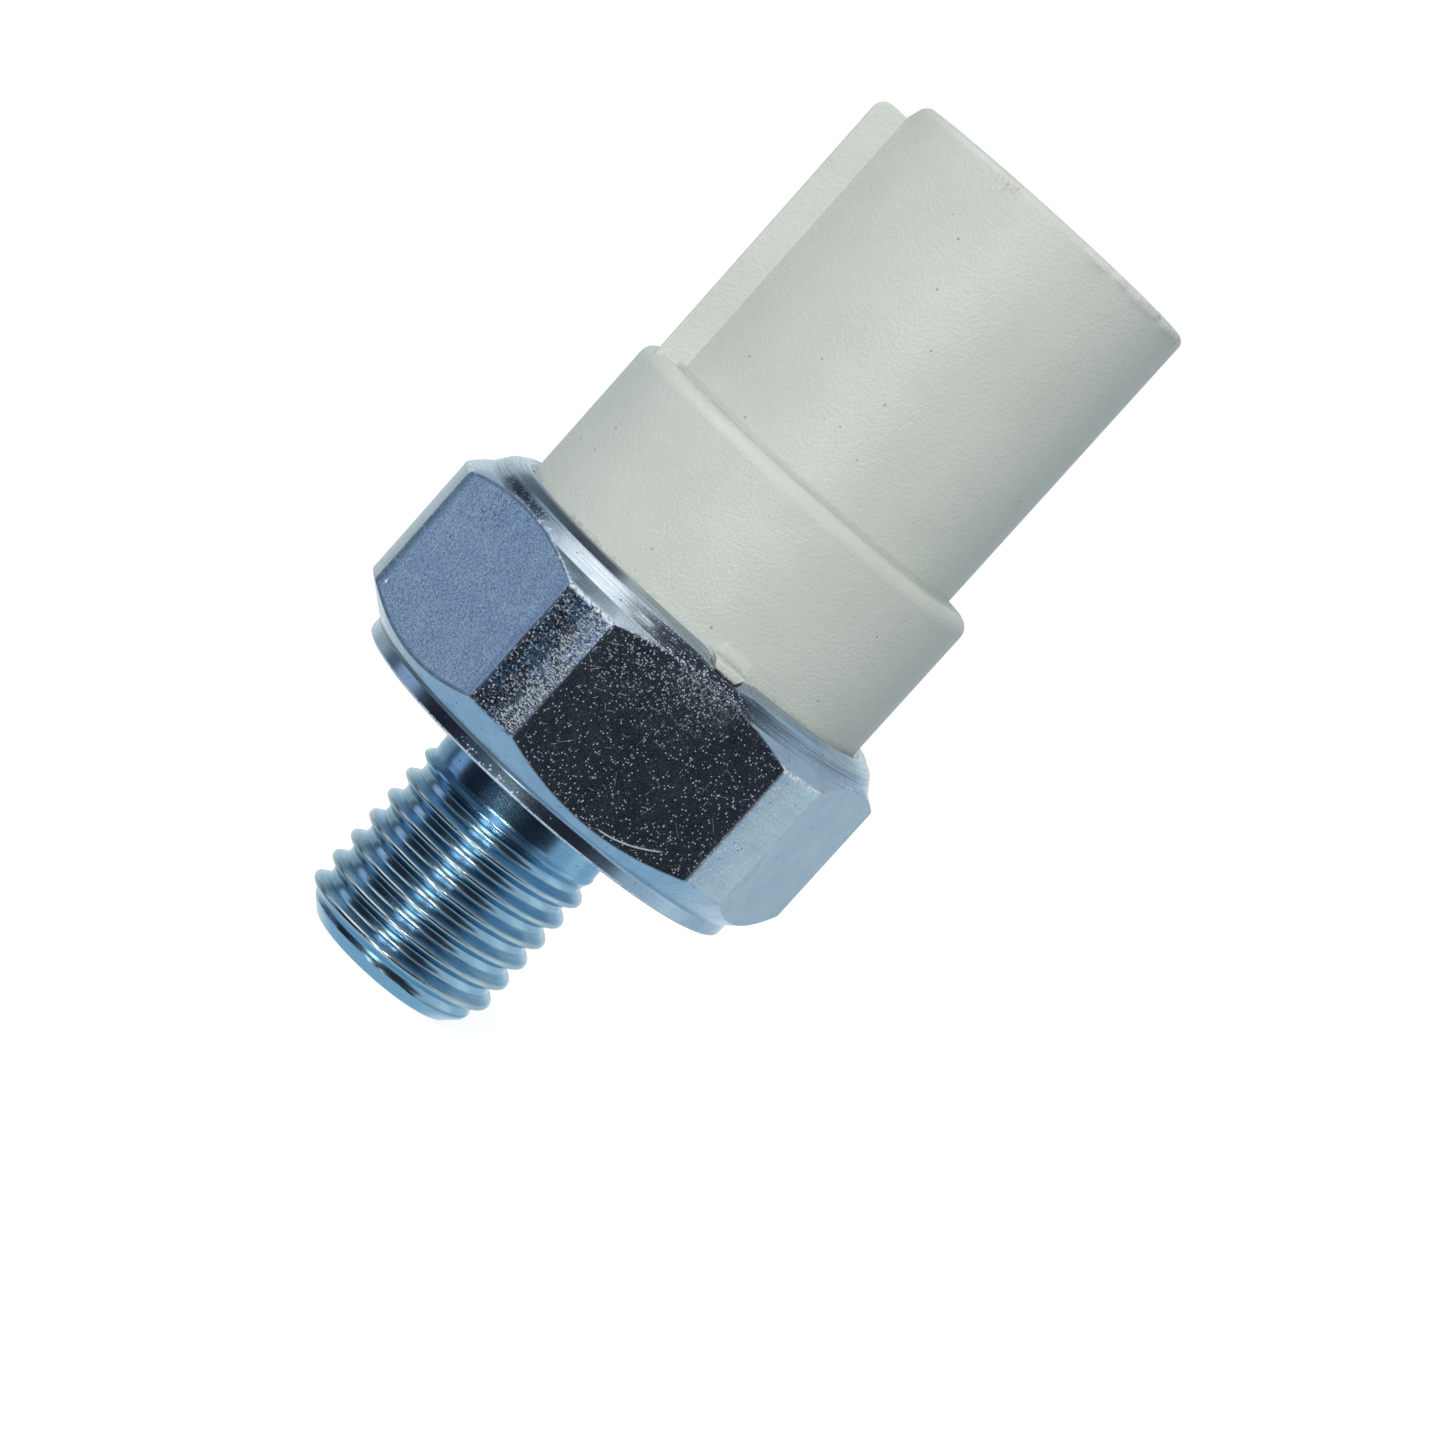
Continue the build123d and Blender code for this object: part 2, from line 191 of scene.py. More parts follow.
def smoothed(piece, angle):
    """Smooth faces with crisp edges above the angle, and broad faces kept flat."""
    take(piece)
    bpy.ops.object.shade_smooth_by_angle(angle=radians(angle), keep_sharp_edges=False)
    finished(piece, "WEIGHTED_NORMAL", keep_sharp=True)
    return piece


def rounded(corners, step=14):
    """The points of an outline whose corners (radius, height, round) are drawn as arcs."""
    points = []
    for i, (r, z, size) in enumerate(corners):
        here = Vector((r, z))
        if not size or i in (0, len(corners) - 1):
            points.append((r, z))
            continue
        back = Vector(corners[i - 1][:2]) - here
        on = Vector(corners[i + 1][:2]) - here
        turn = pi - back.angle(on)
        reach = size * tan(turn / 2)
        start, end = here + back.normalized() * reach, here + on.normalized() * reach
        centre = here + (back.normalized() + on.normalized()).normalized() * (size / cos(turn / 2))
        count = max(2, round(degrees(turn) / step))
        first, last = start - centre, end - centre
        for n in range(count + 1):
            share = n / count
            spoke = (first * sin((1 - share) * turn) + last * sin(share * turn)) / sin(turn)
            points.append(tuple(centre + spoke))
    return points


def drawn(name, points):
    """An outline in the XZ plane, drawn by extruding one vertex from point to point."""
    clear_bench()
    r, z = points[0]
    bpy.ops.mesh.primitive_plane_add(size=MM, location=(r * MM, 0, z * MM))
    piece = fixed(named(name))
    edit(piece)
    bpy.ops.mesh.select_all(action="SELECT")
    bpy.ops.mesh.merge(type="CENTER")
    bpy.ops.mesh.select_mode(type="VERT")
    bpy.ops.mesh.select_all(action="SELECT")
    for (r, z), (next_r, next_z) in zip(points, points[1:]):
        step = ((next_r - r) * MM, 0, (next_z - z) * MM)
        bpy.ops.mesh.extrude_region_move(TRANSFORM_OT_translate={"value": step})
    leave()
    return piece


def spun(name, points, steps):
    """A turned surface: the outline spun once about the sender's axis."""
    piece = drawn(name, points)
    edit(piece)
    bpy.ops.mesh.select_all(action="SELECT")
    bpy.ops.mesh.spin(steps=steps, angle=2 * pi, center=(0, 0, 0), axis=(0, 0, 1))
    leave()
    return sound(piece)


def block(name, low, high):
    """A box between two corners."""
    clear_bench()
    size = [b - a for a, b in zip(low, high)]
    place = [(a + b) / 2 * MM for a, b in zip(low, high)]
    bpy.ops.mesh.primitive_cube_add(size=MM, location=place, scale=size)
    return fixed(named(name))


def turned_about_axis(piece, angle):
    """Turn a piece about the sender's axis, anticlockwise from above."""
    piece.rotation_euler.z = radians(angle)
    return fixed(piece)


def slot_block(name, grow, reach_in, reach_out, top):
    """The flared block that cuts the lip's notch, or with less of everything the key in it."""
    half = NOTCH_HALF - grow
    low = CREST_Z - NOTCH_DEPTH + grow
    piece = block(name, (-half, -reach_out, low), (half, -reach_in, top))
    flare = half + NOTCH_FLARE * (top - low) / NOTCH_DEPTH
    edit(piece)
    pick(piece, "faces", lambda face: face.normal.z > 0.9)
    bpy.ops.transform.resize(value=(flare / half, 1, 1))
    leave()
    return turned_about_axis(piece, NOTCH_TURN)


def copied(node, name):
    """A merged copy of a CAD node's mesh, as a start for a finished piece or a cutter."""
    piece = frame["nodes"][node].copy()
    piece.data = frame["nodes"][node].data.copy()
    for key in list(piece.keys()):
        del piece[key]
    piece.parent = None
    bpy.context.scene.collection.objects.link(piece)
    piece.name = name
    piece.data.name = name
    return sound(piece)


# Turned steel body

def thread_on_stem():
    """The rolled M10 x 1.25 thread: one pitch's outline repeated, screwed up once, faded into the neck."""
    tooth = [(-0.625, 4.42), (-0.52, 4.425), (-0.43, 4.447), (-0.36, 4.49), (-0.13, 4.86), (-0.08, 4.905),
             (0.0, 4.92), (0.08, 4.905), (0.13, 4.86), (0.36, 4.49), (0.43, 4.447), (0.52, 4.425)]
    crest = THREAD_CREST_Z + PITCH / 4 - 8 * PITCH
    points = [(r, crest + n * PITCH + dz) for n in range(12) for dz, r in tooth]
    stem = drawn("stem_thread", points)
    finished(stem, "SCREW", angle=2 * pi, screw_offset=PITCH * MM, steps=STEPS, render_steps=STEPS,
             axis="Z", use_merge_vertices=False)
    sound(stem)
    for height, inner, outer in ((THREAD_TOP_Z, False, True), (THREAD_END_Z, True, False)):
        edit(stem)
        bpy.ops.mesh.select_all(action="SELECT")
        bpy.ops.mesh.bisect(plane_co=(0, 0, height * MM), plane_no=(0, 0, 1), clear_inner=inner,
                            clear_outer=outer, threshold=TOLERANCE * MM)
        leave()
    for corner in stem.data.vertices:
        x, y, z = corner.co / MM
        r = sqrt(x * x + y * y)
        fade = held((z - RUNOUT_Z) / PITCH)
        fade = fade * fade * (3 - 2 * fade)
        new_r = min(r + (NECK_R - r) * fade, STEM_END_R + z - STEM_Z)
        corner.co.x *= new_r / r
        corner.co.y *= new_r / r
    return stem


def is_flat(face):
    """One of the hexagon's six flats."""
    return face.calc_area() > BROAD


def is_flat_border(edge):
    """An edge between one of the six flats and a turned face."""
    if len(edge.link_faces) != 2:
        return False
    flats = [face for face in edge.link_faces if is_flat(face)]
    return len(flats) == 1 and edge.calc_face_angle(0) > radians(18)


def way_out(side):
    """The way that a flat faces, by its number from the one towards the camera."""
    turn = radians(HEX_TURN + 60 * side)
    return sin(turn), -cos(turn), 0


def turned_blank():
    """The bar as the lathe leaves it: neck, washer face, both bevels, lip, cup and oil port."""
    corners = [
        (NECK_R, NECK_END_Z, 0), (NECK_R, 0, 0.2), (WASHER_R, 0, 0.14), (WASHER_R, WASHER_Z, 0.2),
        (HEX_CORNER_R, HEX_LOW_Z, 0.12), (HEX_CORNER_R, HEX_HIGH_Z, 0.15), (CRIMP_R, CRIMP_Z, 0.3),
        (CRIMP_R - 0.32 * LEAN, CRIMP_Z + 0.32, 0), (CRIMP_R - 0.55 * LEAN, CRIMP_Z + 0.55, 0),
        (LEAN_R, LEAN_Z, 0.3), (CREST_R, CREST_Z, 0.22), (LIP_R, CREST_Z - 0.3, 0.08),
        (LIP_R, SEAT_Z + (CUP_R - LIP_R) * SEAT_SLOPE, 0), (CUP_R, SEAT_Z, 0), (CUP_R, FLOOR_Z, 0.1),
        (PORT_R, FLOOR_Z, 0.1), (PORT_R, STEM_Z + PORT_MOUTH, 0), (PORT_R + PORT_MOUTH, STEM_Z, 0),
        (STEM_END_R, STEM_Z, 0),
    ]
    return spun("turned_body", rounded(corners), STEPS)


def mill_flats(body):
    """The six flats cut off the turned corners."""
    for side in range(6):
        out = way_out(side)
        edit(body)
        bpy.ops.mesh.select_all(action="SELECT")
        bpy.ops.mesh.bisect(plane_co=[v * FLATS_R * MM for v in out], plane_no=out, use_fill=True,
                            clear_outer=True, threshold=TOLERANCE * MM)
        leave()
    sound(body, 0.02)


def join_thread(body):
    """The threaded stem bridged to the neck above it and to the turned end below."""
    stem = thread_on_stem()
    take(body)
    stem.select_set(True)
    bpy.ops.object.join()
    edit(body)
    for ends in ((NECK_END_Z, THREAD_TOP_Z), (THREAD_END_Z, STEM_Z)):
        height = sum(ends) / 2
        pick(body, "edges", lambda edge: edge.is_boundary and abs(middle(edge).z - height) < 0.05)
        bpy.ops.mesh.bridge_edge_loops()
    leave()
    sound(body)


def cut_notch(body):
    """The notch cut through the lip, and the lip pressed down a little on both sides of it."""
    joined(body, slot_block("notch", 0, LIP_R - 1, HEX_CORNER_R, CREST_Z + 1), "DIFFERENCE")
    for corner in body.data.vertices:
        x, y, z = corner.co / MM
        from_notch = abs(sqrt(x * x + y * y) * radians(degrees(atan2(x, -y)) - NOTCH_TURN))
        droop = held((z - DROOP_LOW_Z) / 0.4) * held((DROOP_REACH - from_notch) / 0.9) ** 2
        corner.co.z -= LIP_DROOP * droop * MM


def even_flats(body):
    """Short edges at the flats' borders merged, and every corner of a flat back in its plane."""
    edit(body)
    pick(body, "edges", is_flat_border)
    bpy.ops.mesh.remove_doubles(threshold=0.09 * MM)
    leave()
    for face in body.data.polygons:
        if face.area > BROAD:
            turn = degrees(atan2(face.normal.x, -face.normal.y))
            out = Vector(way_out(round((turn - HEX_TURN) / 60)))
            for corner in (body.data.vertices[n] for n in face.vertices):
                corner.co += out * (FLATS_R * MM - corner.co.dot(out))


def break_flat_borders(body):
    """A fine bevel round each flat, and a narrow frame inside it that keeps the flat's shading even."""
    edit(body)
    pick(body, "edges", is_flat_border)
    bpy.ops.mesh.bevel(offset=0.04 * MM, segments=2, loop_slide=False, clamp_overlap=True)
    pick(body, "faces", is_flat)
    bpy.ops.mesh.inset(thickness=0.04 * MM, use_even_offset=False)
    leave()


def turned_body():
    """Stem, washer face, hexagon, crimp wall and rolled lip, all of one turned bar."""
    body = turned_blank()
    mill_flats(body)
    join_thread(body)
    cut_notch(body)
    even_flats(body)
    break_flat_borders(body)
    return smoothed(body, 32)


# Moulded housing

def moulded_blank():
    """The housing's round form: spring pocket, recess, skirt, barrel, shoulder and hood."""
    seat = SEAT_Z - 0.02
    rim, below_rim = RIM_Z - 0.07, RIM_Z - 0.85
    corners = [
        (0, POCKET_TOP_Z, 0), (POCKET_R, POCKET_TOP_Z, 0), (POCKET_R, RECESS_TOP_Z, 0),
        (RECESS_R, RECESS_TOP_Z, 0.2), (RECESS_R, SKIRT_Z, 0), (SKIRT_R, SKIRT_Z, 0), (SKIRT_R, seat, 0),
        (BARREL_R, seat + (SKIRT_R - BARREL_R) * SEAT_SLOPE, 0), (BARREL_R, CREST_Z + 0.7, 0),
        (BARREL_R, SHOULDER_Z, 0.7), (HOOD_R, SHOULDER_Z, 0.22), (HOOD_R, below_rim, 0),
        (HOOD_R, RIM_Z - 0.58, 0), (HOOD_R, rim, 0.38), (HOOD_BORE_R + 0.1, rim, 0.3),
        (HOOD_BORE_R, below_rim, 0), (HOOD_BORE_R, HOOD_FLOOR_Z, 0.35), (0, HOOD_FLOOR_Z, 0),
    ]
    return spun("moulded_housing", rounded(corners), HOUSING_STEPS)


def cut_blade_slots(housing):
    """Slots for the two blades, a little wider than the strips."""
    for node in ("terminal_left", "terminal_right"):
        slot = copied(node, "slot_cutter")
        edit(slot)
        bpy.ops.mesh.select_all(action="SELECT")
        bpy.ops.transform.shrink_fatten(value=0.02 * MM, use_even_offset=True)
        leave()
        joined(housing, slot, "DIFFERENCE")


def moulded_housing():
    """Skirt and flange in the cup, barrel, shoulder, plug hood with its latch side, key and plinth."""
    housing = moulded_blank()
    joined(housing, latch_side_cutter(), "DIFFERENCE")
    for side in (-1, 1):
        joined(housing, guide_rail(side), "UNION")
    for part in (latch_catch, moulded_key, plinth):
        joined(housing, part(), "UNION")
    cut_blade_slots(housing)
    sound(housing, 0.005)
    rough_flash(housing)
    return smoothed(housing, 32)


def moulded_key():
    """The key in the lip's notch, its top sloping up into the barrel."""
    key = slot_block("key", 0.02, BARREL_R - 1, KEY_R, KEY_TOP_Z)
    edit(key)
    pick(key, "verts", lambda corner: corner.co.z / MM > KEY_TOP_Z - 0.02
         and corner.co.xy.length / MM < BARREL_R - 0.5)
    bpy.ops.transform.translate(value=(0, 0, KEY_RAISE * MM))
    pick(key, "edges", lambda edge: middle(edge).xy.length > 10 or middle(edge).z > CREST_Z)
    bpy.ops.mesh.bevel(offset=0.09 * MM, segments=3, clamp_overlap=True)
    leave()
    return key


def rough_flash(housing):
    """The mould's ragged flash on the rim, from the camera's side round to the side away from the latch."""
    for corner in housing.data.vertices:
        x, y, z = corner.co / MM
        r, turn = sqrt(x * x + y * y), degrees(atan2(x, -y))
        on_rim = held((z - RIM_Z + 0.62) / 0.25) * held((r - HOOD_R + 0.32) / 0.12)
        near = on_rim * held((turn - FLASH_START) / 5) * held((FLASH_END - turn) / 10)
        if near:
            ragged = noise.noise(corner.co / MM * 2.1) * 0.14 + noise.noise(corner.co / MM * 5.3) * 0.09
            swell = 1 + near * (0.035 + ragged) / r
            corner.co.x *= swell
            corner.co.y *= swell
            corner.co.z += near * held(ragged * 8) * 0.05 * MM


def latch_side_cutter():
    """What the flat side of the hood leaves away, rounded over at the rim."""
    cutter = block("latch_side_cutter", (-12, -4.5, SHOULDER_Z), (FLAT_X, 4.5, RIM_Z + 1))
    edit(cutter)
    pick(cutter, "faces", lambda face: face.normal.x > 0.9)
    bpy.ops.mesh.subdivide(number_cuts=24)
    leave()
    for corner in cutter.data.vertices:
        z = corner.co.z / MM - (RIM_Z - 1.0)
        if z > 0 and corner.co.x / MM > -8 and abs(corner.co.y / MM) < 4.4:
            corner.co.x += (1 - sqrt(max(1 - min(z, 1) ** 2, 0))) * MM
    return cutter


def guide_rail(side):
    """One rail of the latch side, its outer top corner rounded and its long edges broken."""
    outer = side * RAIL_SPAN / 2
    inner = side * (RAIL_SPAN / 2 - RAIL_WIDTH)
    low = (RAIL_X, min(outer, inner), SHOULDER_Z - 0.6)
    rail = block("rail", low, (FLAT_X + 0.25, max(outer, inner), RAIL_TOP_Z))
    edit(rail)
    pick(rail, "edges", lambda edge: middle(edge).x < RAIL_X + 0.1 and middle(edge).z > RAIL_TOP_Z - 0.1)
    bpy.ops.mesh.bevel(offset=0.6 * MM, segments=8)
    pick(rail, "edges", lambda edge: abs(middle(edge).y) > 1.8 and middle(edge).x < FLAT_X
         and edge.calc_face_angle(0) > 1.2 and middle(edge).z > SHOULDER_Z)
    bpy.ops.mesh.bevel(offset=0.12 * MM, segments=3)
    leave()
    return rail


def latch_catch():
    """The catch that the plug's latch snaps under: square below, a ramp above."""
    catch = block("catch", (CATCH_X, -1, CATCH_Z), (FLAT_X + 0.25, 1, CATCH_Z + CATCH_HEIGHT))

    def shift(share, x, z):
        """Move the corners of the outer face at a share of its height."""
        height = CATCH_Z + CATCH_HEIGHT * share
        pick(catch, "verts", lambda corner: corner.co.x / MM < CATCH_X + 0.1
             and abs(corner.co.z / MM - height) < 0.1)
        bpy.ops.transform.translate(value=(x * MM, 0, z * MM))

    edit(catch)
    pick(catch, "faces", lambda face: face.normal.x < -0.9)
    bpy.ops.mesh.subdivide(number_cuts=1)
    shift(0.5, 0, -0.75)
    shift(1.0, FLAT_X - CATCH_X, 0)
    leave()
    return catch


def plinth():
    """The raised pad on the hood's floor that the blades stand in."""
    pad = block("plinth", (-2.2, -4.2, HOOD_FLOOR_Z - 0.3), (2.2, 4.2, HOOD_FLOOR_Z + 0.6))
    edit(pad)
    pick(pad, "edges", lambda edge: abs(edge.verts[0].co.z - edge.verts[1].co.z) > 0.5 * MM)
    bpy.ops.mesh.bevel(offset=0.8 * MM, segments=7)
    pick(pad, "edges", lambda edge: min(v.co.z for v in edge.verts) > (HOOD_FLOOR_Z + 0.55) * MM)
    bpy.ops.mesh.bevel(offset=0.1 * MM, segments=2)
    leave()
    return pad


# Inner pieces

def round_wire_spring():
    """The return spring of round wire, screwed up through three and a half turns."""
    low = SPRING_LOW_Z + WIRE_R + 0.02
    high = SPRING_HIGH_Z - WIRE_R - 0.02
    clear_bench()
    bpy.ops.mesh.primitive_circle_add(vertices=12, radius=WIRE_R * MM, fill_type="NGON",
                                      location=(SPRING_R * MM, 0, low * MM), rotation=(pi / 2, 0, 0))
    spring = fixed(named("round_wire_spring"))
    edit(spring)
    bpy.ops.mesh.select_all(action="SELECT")
    bpy.ops.mesh.delete(type="ONLY_FACE")
    leave()
    finished(spring, "SCREW", angle=7 * pi, screw_offset=(high - low) * MM, steps=WIRE_STEPS,
             render_steps=WIRE_STEPS, axis="Z")
    edit(spring)
    pick(spring, "edges", lambda edge: edge.is_boundary)
    bpy.ops.mesh.fill_holes(sides=0)
    leave()
    sound(spring)
    return smoothed(spring, 40)


def stamped_terminal(node, name):
    """A terminal strip with its stamped edges broken."""
    strip = copied(node, name)
    finished(strip, "BEVEL", width=0.05 * MM, segments=2, limit_method="ANGLE", angle_limit=radians(40))
    return smoothed(strip, 35)


body_piece = turned_body()
housing_piece = moulded_housing()
spring_piece = round_wire_spring()
left_blade = stamped_terminal("terminal_left", "stamped_terminal_left")
right_blade = stamped_terminal("terminal_right", "stamped_terminal_right")

for piece, node, finish in (
    (body_piece, "hex_body", "zinc_steel"),
    (housing_piece, "connector_housing", "cream_plastic"),
    (spring_piece, "contact_spring", "spring_wire"),
    (left_blade, "terminal_left", "tinned_brass"),
    (right_blade, "terminal_right", "tinned_brass"),
):
    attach(piece, "sender")
    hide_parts(node)
    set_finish(piece, finish)
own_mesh(spring_piece)


# Finishes

class Signal:
    """A socket of a finish. Python's operators on it add Math nodes."""

    def __init__(self, finish, socket):
        self.finish, self.socket = finish, socket

    def maths(self, operation, *others):
        sockets = dict(enumerate((self,) + others))
        return self.finish.node("ShaderNodeMath", {"operation": operation}, sockets)

    def beside(self, out):
        """Another output of the same node."""
        return Signal(self.finish, self.socket.node.outputs[out])

    def __add__(self, other):
        return self.maths("ADD", other)

    def __sub__(self, other):
        return self.maths("SUBTRACT", other)

    def __rsub__(self, other):
        return self.finish.node("ShaderNodeMath", {"operation": "SUBTRACT"}, {0: other, 1: self})

    def __mul__(self, other):
        return self.maths("MULTIPLY", other)

    def __truediv__(self, other):
        return self.maths("DIVIDE", other)

    def __pow__(self, other):
        return self.maths("POWER", other)

    __radd__, __rmul__ = __add__, __mul__

    def least(self, other):
        return self.maths("MINIMUM", other)

    def most(self, other):
        return self.maths("MAXIMUM", other)

    def size(self):
        return self.maths("ABSOLUTE")

    def rise(self, low, high):
        """0 below low, 1 above high, and smooth between."""
        return self.finish.node("ShaderNodeMapRange", {"interpolation_type": "SMOOTHSTEP"},
                                {"Value": self, "From Min": low, "From Max": high})

    def fall(self, low, high):
        """1 below low, 0 above high, and smooth between: the node takes its range either way round."""
        return self.rise(high, low)

    def hump(self, centre, half, soft):
        """1 within half of the centre, fading to 0 over soft."""
        return (self - centre).size().fall(half, half + soft)


class Finish:
    """The node work of one material, or of the room round the object."""

    def __init__(self, tree):
        self.tree = tree
        tree.nodes.clear()

    def node(self, kind, settings=None, sockets=None, out=0):
        """Any node: its settings first, then the values or links of its sockets. Returns one output."""
        node = self.tree.nodes.new(kind)
        for key, value in (settings or {}).items():
            setattr(node, key, value)
        for key, value in (sockets or {}).items():
            if isinstance(value, Signal):
                self.tree.links.new(value.socket, node.inputs[key])
            else:
                node.inputs[key].default_value = value
        return Signal(self, node.outputs[out]) if len(node.outputs) else None

    def places(self):
        """The surface's point in the sender's frame, in millimetres: the vector and its x, y and z."""
        point = self.node("ShaderNodeTexCoord", out="Object")
        point = self.node("ShaderNodeVectorMath", {"operation": "SCALE"}, {0: point, 3: 1 / MM})
        x = self.node("ShaderNodeSeparateXYZ", sockets={0: point})
        return point, x, x.beside(1), x.beside(2)

    def at(self, x, y, z):
        """A point made of three lengths."""
        return self.node("ShaderNodeCombineXYZ", sockets={0: x, 1: y, 2: z})

    def cloud(self, point, scale, detail, rough):
        """Smooth noise round 0.5."""
        return self.node("ShaderNodeTexNoise", {"noise_dimensions": "3D"},
                         {"Vector": point, "Scale": scale, "Detail": detail, "Roughness": rough})

    def patches(self, point, scale, low, high, detail=3.0):
        """Ragged patches where a rough noise rises from low to high."""
        return self.cloud(point, scale, detail, 0.7).rise(low, high)

    def specks(self, point, scale, share, size):
        """Small dots in a share of the cells, 1 in their middle."""
        near = self.node("ShaderNodeTexVoronoi", sockets={"Vector": point, "Scale": scale})
        lot = self.node("ShaderNodeSeparateColor", sockets={0: near.beside("Color")})
        return near.fall(size * 0.6, size) * lot.fall(share - 0.01, share + 0.01)

    def dashes(self, across, along, scale, share, length, width):
        """Short scratches on a surface with two lengths in millimetres, each turned its own way."""
        flat_point = self.at(across, along, 0.0)
        near = self.node("ShaderNodeTexVoronoi", {"voronoi_dimensions": "2D"},
                         {"Vector": flat_point, "Scale": scale})
        lot = self.node("ShaderNodeSeparateColor", sockets={0: near.beside("Color")})
        turn = lot * pi
        keep = lot.beside(1).fall(share - 0.01, share + 0.01)
        away = self.node("ShaderNodeVectorMath", {"operation": "SUBTRACT"},
                         {0: flat_point, 1: near.beside("Position")})
        a = self.node("ShaderNodeSeparateXYZ", sockets={0: away})
        b = a.beside(1)
        run = (a * turn.maths("COSINE") + b * turn.maths("SINE")).size()
        off = (b * turn.maths("COSINE") - a * turn.maths("SINE")).size()
        return run.fall(length * 0.6, length) * off.fall(width * 0.5, width) * keep

    def mix(self, share, low, high):
        """A colour between two, by a share from 0 to 1."""
        low, high = (c if isinstance(c, Signal) else (*c, 1) for c in (low, high))
        return self.node("ShaderNodeMix", {"data_type": "RGBA"}, {0: share, 6: low, 7: high}, out=2)

    def tinted(self, colour, factor):
        """A colour times a number that varies."""
        grey = self.node("ShaderNodeCombineColor", sockets={0: factor, 1: factor, 2: factor})
        return self.node("ShaderNodeMix", {"data_type": "RGBA", "blend_type": "MULTIPLY"},
                         {0: 1.0, 6: colour, 7: grey}, out=2)

    def bumped(self, height, depth, strength):
        """A normal from a height in millimetres times depth."""
        sockets = {"Height": height, "Distance": depth * MM, "Strength": strength}
        return self.node("ShaderNodeBump", sockets=sockets)

    def surface(self, **sockets):
        """The shader itself, joined to the output. Names use _ for the spaces."""
        values = {key.replace("_", " "): value for key, value in sockets.items()}
        shader = self.node("ShaderNodeBsdfPrincipled", sockets=values)
        self.node("ShaderNodeOutputMaterial", sockets={"Surface": shader})


def from_axis(x, y):
    """The distance from the sender's axis."""
    return (x * x + y * y) ** 0.5


def round_axis(x, y):
    """The turn about the sender's axis in radians, 0 on the camera's side."""
    return x.maths("ARCTAN2", y * -1)


def oval(across, along):
    """The square of the distance from a mark's middle."""
    return across ** 2.0 + along ** 2.0


def finish_named(name):
    """A new material, and the node work for it."""
    material = bpy.data.materials.new(name)
    material.use_nodes = True
    return material, Finish(material.node_tree)


def body_regions(f):
    """Where a point of the body lies, and from 0 to 1 how far it belongs to each region."""
    point, x, y, z = f.places()
    r, azimuth = from_axis(x, y), round_axis(x, y)
    sixth = (azimuth - FLAT_C + pi / 6) / (pi / 3)
    side_number = sixth.maths("FLOOR")
    sector = (sixth - side_number - 0.5) * (pi / 3)
    u = r * sector.maths("SINE")
    from_flat = FLATS_R - r * sector.maths("COSINE")
    low_bevel = WASHER_R + (z - WASHER_Z) * LOW_BEVEL
    high_bevel = HEX_CORNER_R - (z - HEX_HIGH_Z) * HIGH_BEVEL
    inside = low_bevel.least(HEX_CORNER_R).least(high_bevel) - r
    flat = from_flat.size().fall(0.012, 0.03) * inside.rise(0.015, 0.04)
    flat = flat * z.rise(0.9, 1.0) * z.fall(9.5, 9.6)
    strip = (1 - flat) * r.rise(11.9, 12.0) * z.rise(2.0, 2.15) * z.fall(8.5, 8.65)
    return SimpleNamespace(
        point=point, x=x, y=y, z=z, r=r, azimuth=azimuth,
        u=u, across=u + side_number * 31.7, border=inside.most(from_flat),
        flat=flat, turned=1 - flat, strip=strip,
        stem=z.fall(-0.5, -0.2),
        hexagon=z.rise(1.0, 1.3) * z.fall(9.3, 9.6),
        lip=z.rise(9.1, 9.2) * r.rise(9.6, 9.7),
        on_a=azimuth.hump(FLAT_A, radians(27), radians(2)) * flat,
        on_b=azimuth.hump(STRIP_B, radians(6), radians(1)) * strip,
        on_c=azimuth.hump(FLAT_C, radians(27), radians(2)) * flat,
    )


def steel_grain(f, s):
    """Rings round the axis for the turned faces, and a fine grain with slow mottling for the flats."""
    s.rings = f.cloud(f.at(s.r * 9, s.z * 9, (s.x + s.y * 0.6) * 0.12), 1.0, 3.0, 0.7)
    s.fine_rings = f.cloud(f.at(s.r * 26, s.z * 26, (s.x - s.y * 0.4) * 0.3), 1.0, 2.0, 0.6)
    s.streaks = f.cloud(f.at(s.r * 30, s.z * 30, s.azimuth * 2.2), 1.0, 2.0, 0.6)
    s.mottle = f.cloud(s.point, 0.8, 5.0, 0.6)
    s.grain = f.cloud(s.point, 8.0, 3.0, 0.7)
    s.sand = f.cloud(s.point, 17.0, 2.0, 0.6)
    s.grit = f.cloud(s.point, 25.0, 1.0, 0.5)
    s.pits = f.specks(s.point, 2.6, 0.30, 0.16)
    s.worked = (s.strip * 0.9).most(s.flat * 0.75).most(s.hexagon * 0.25)


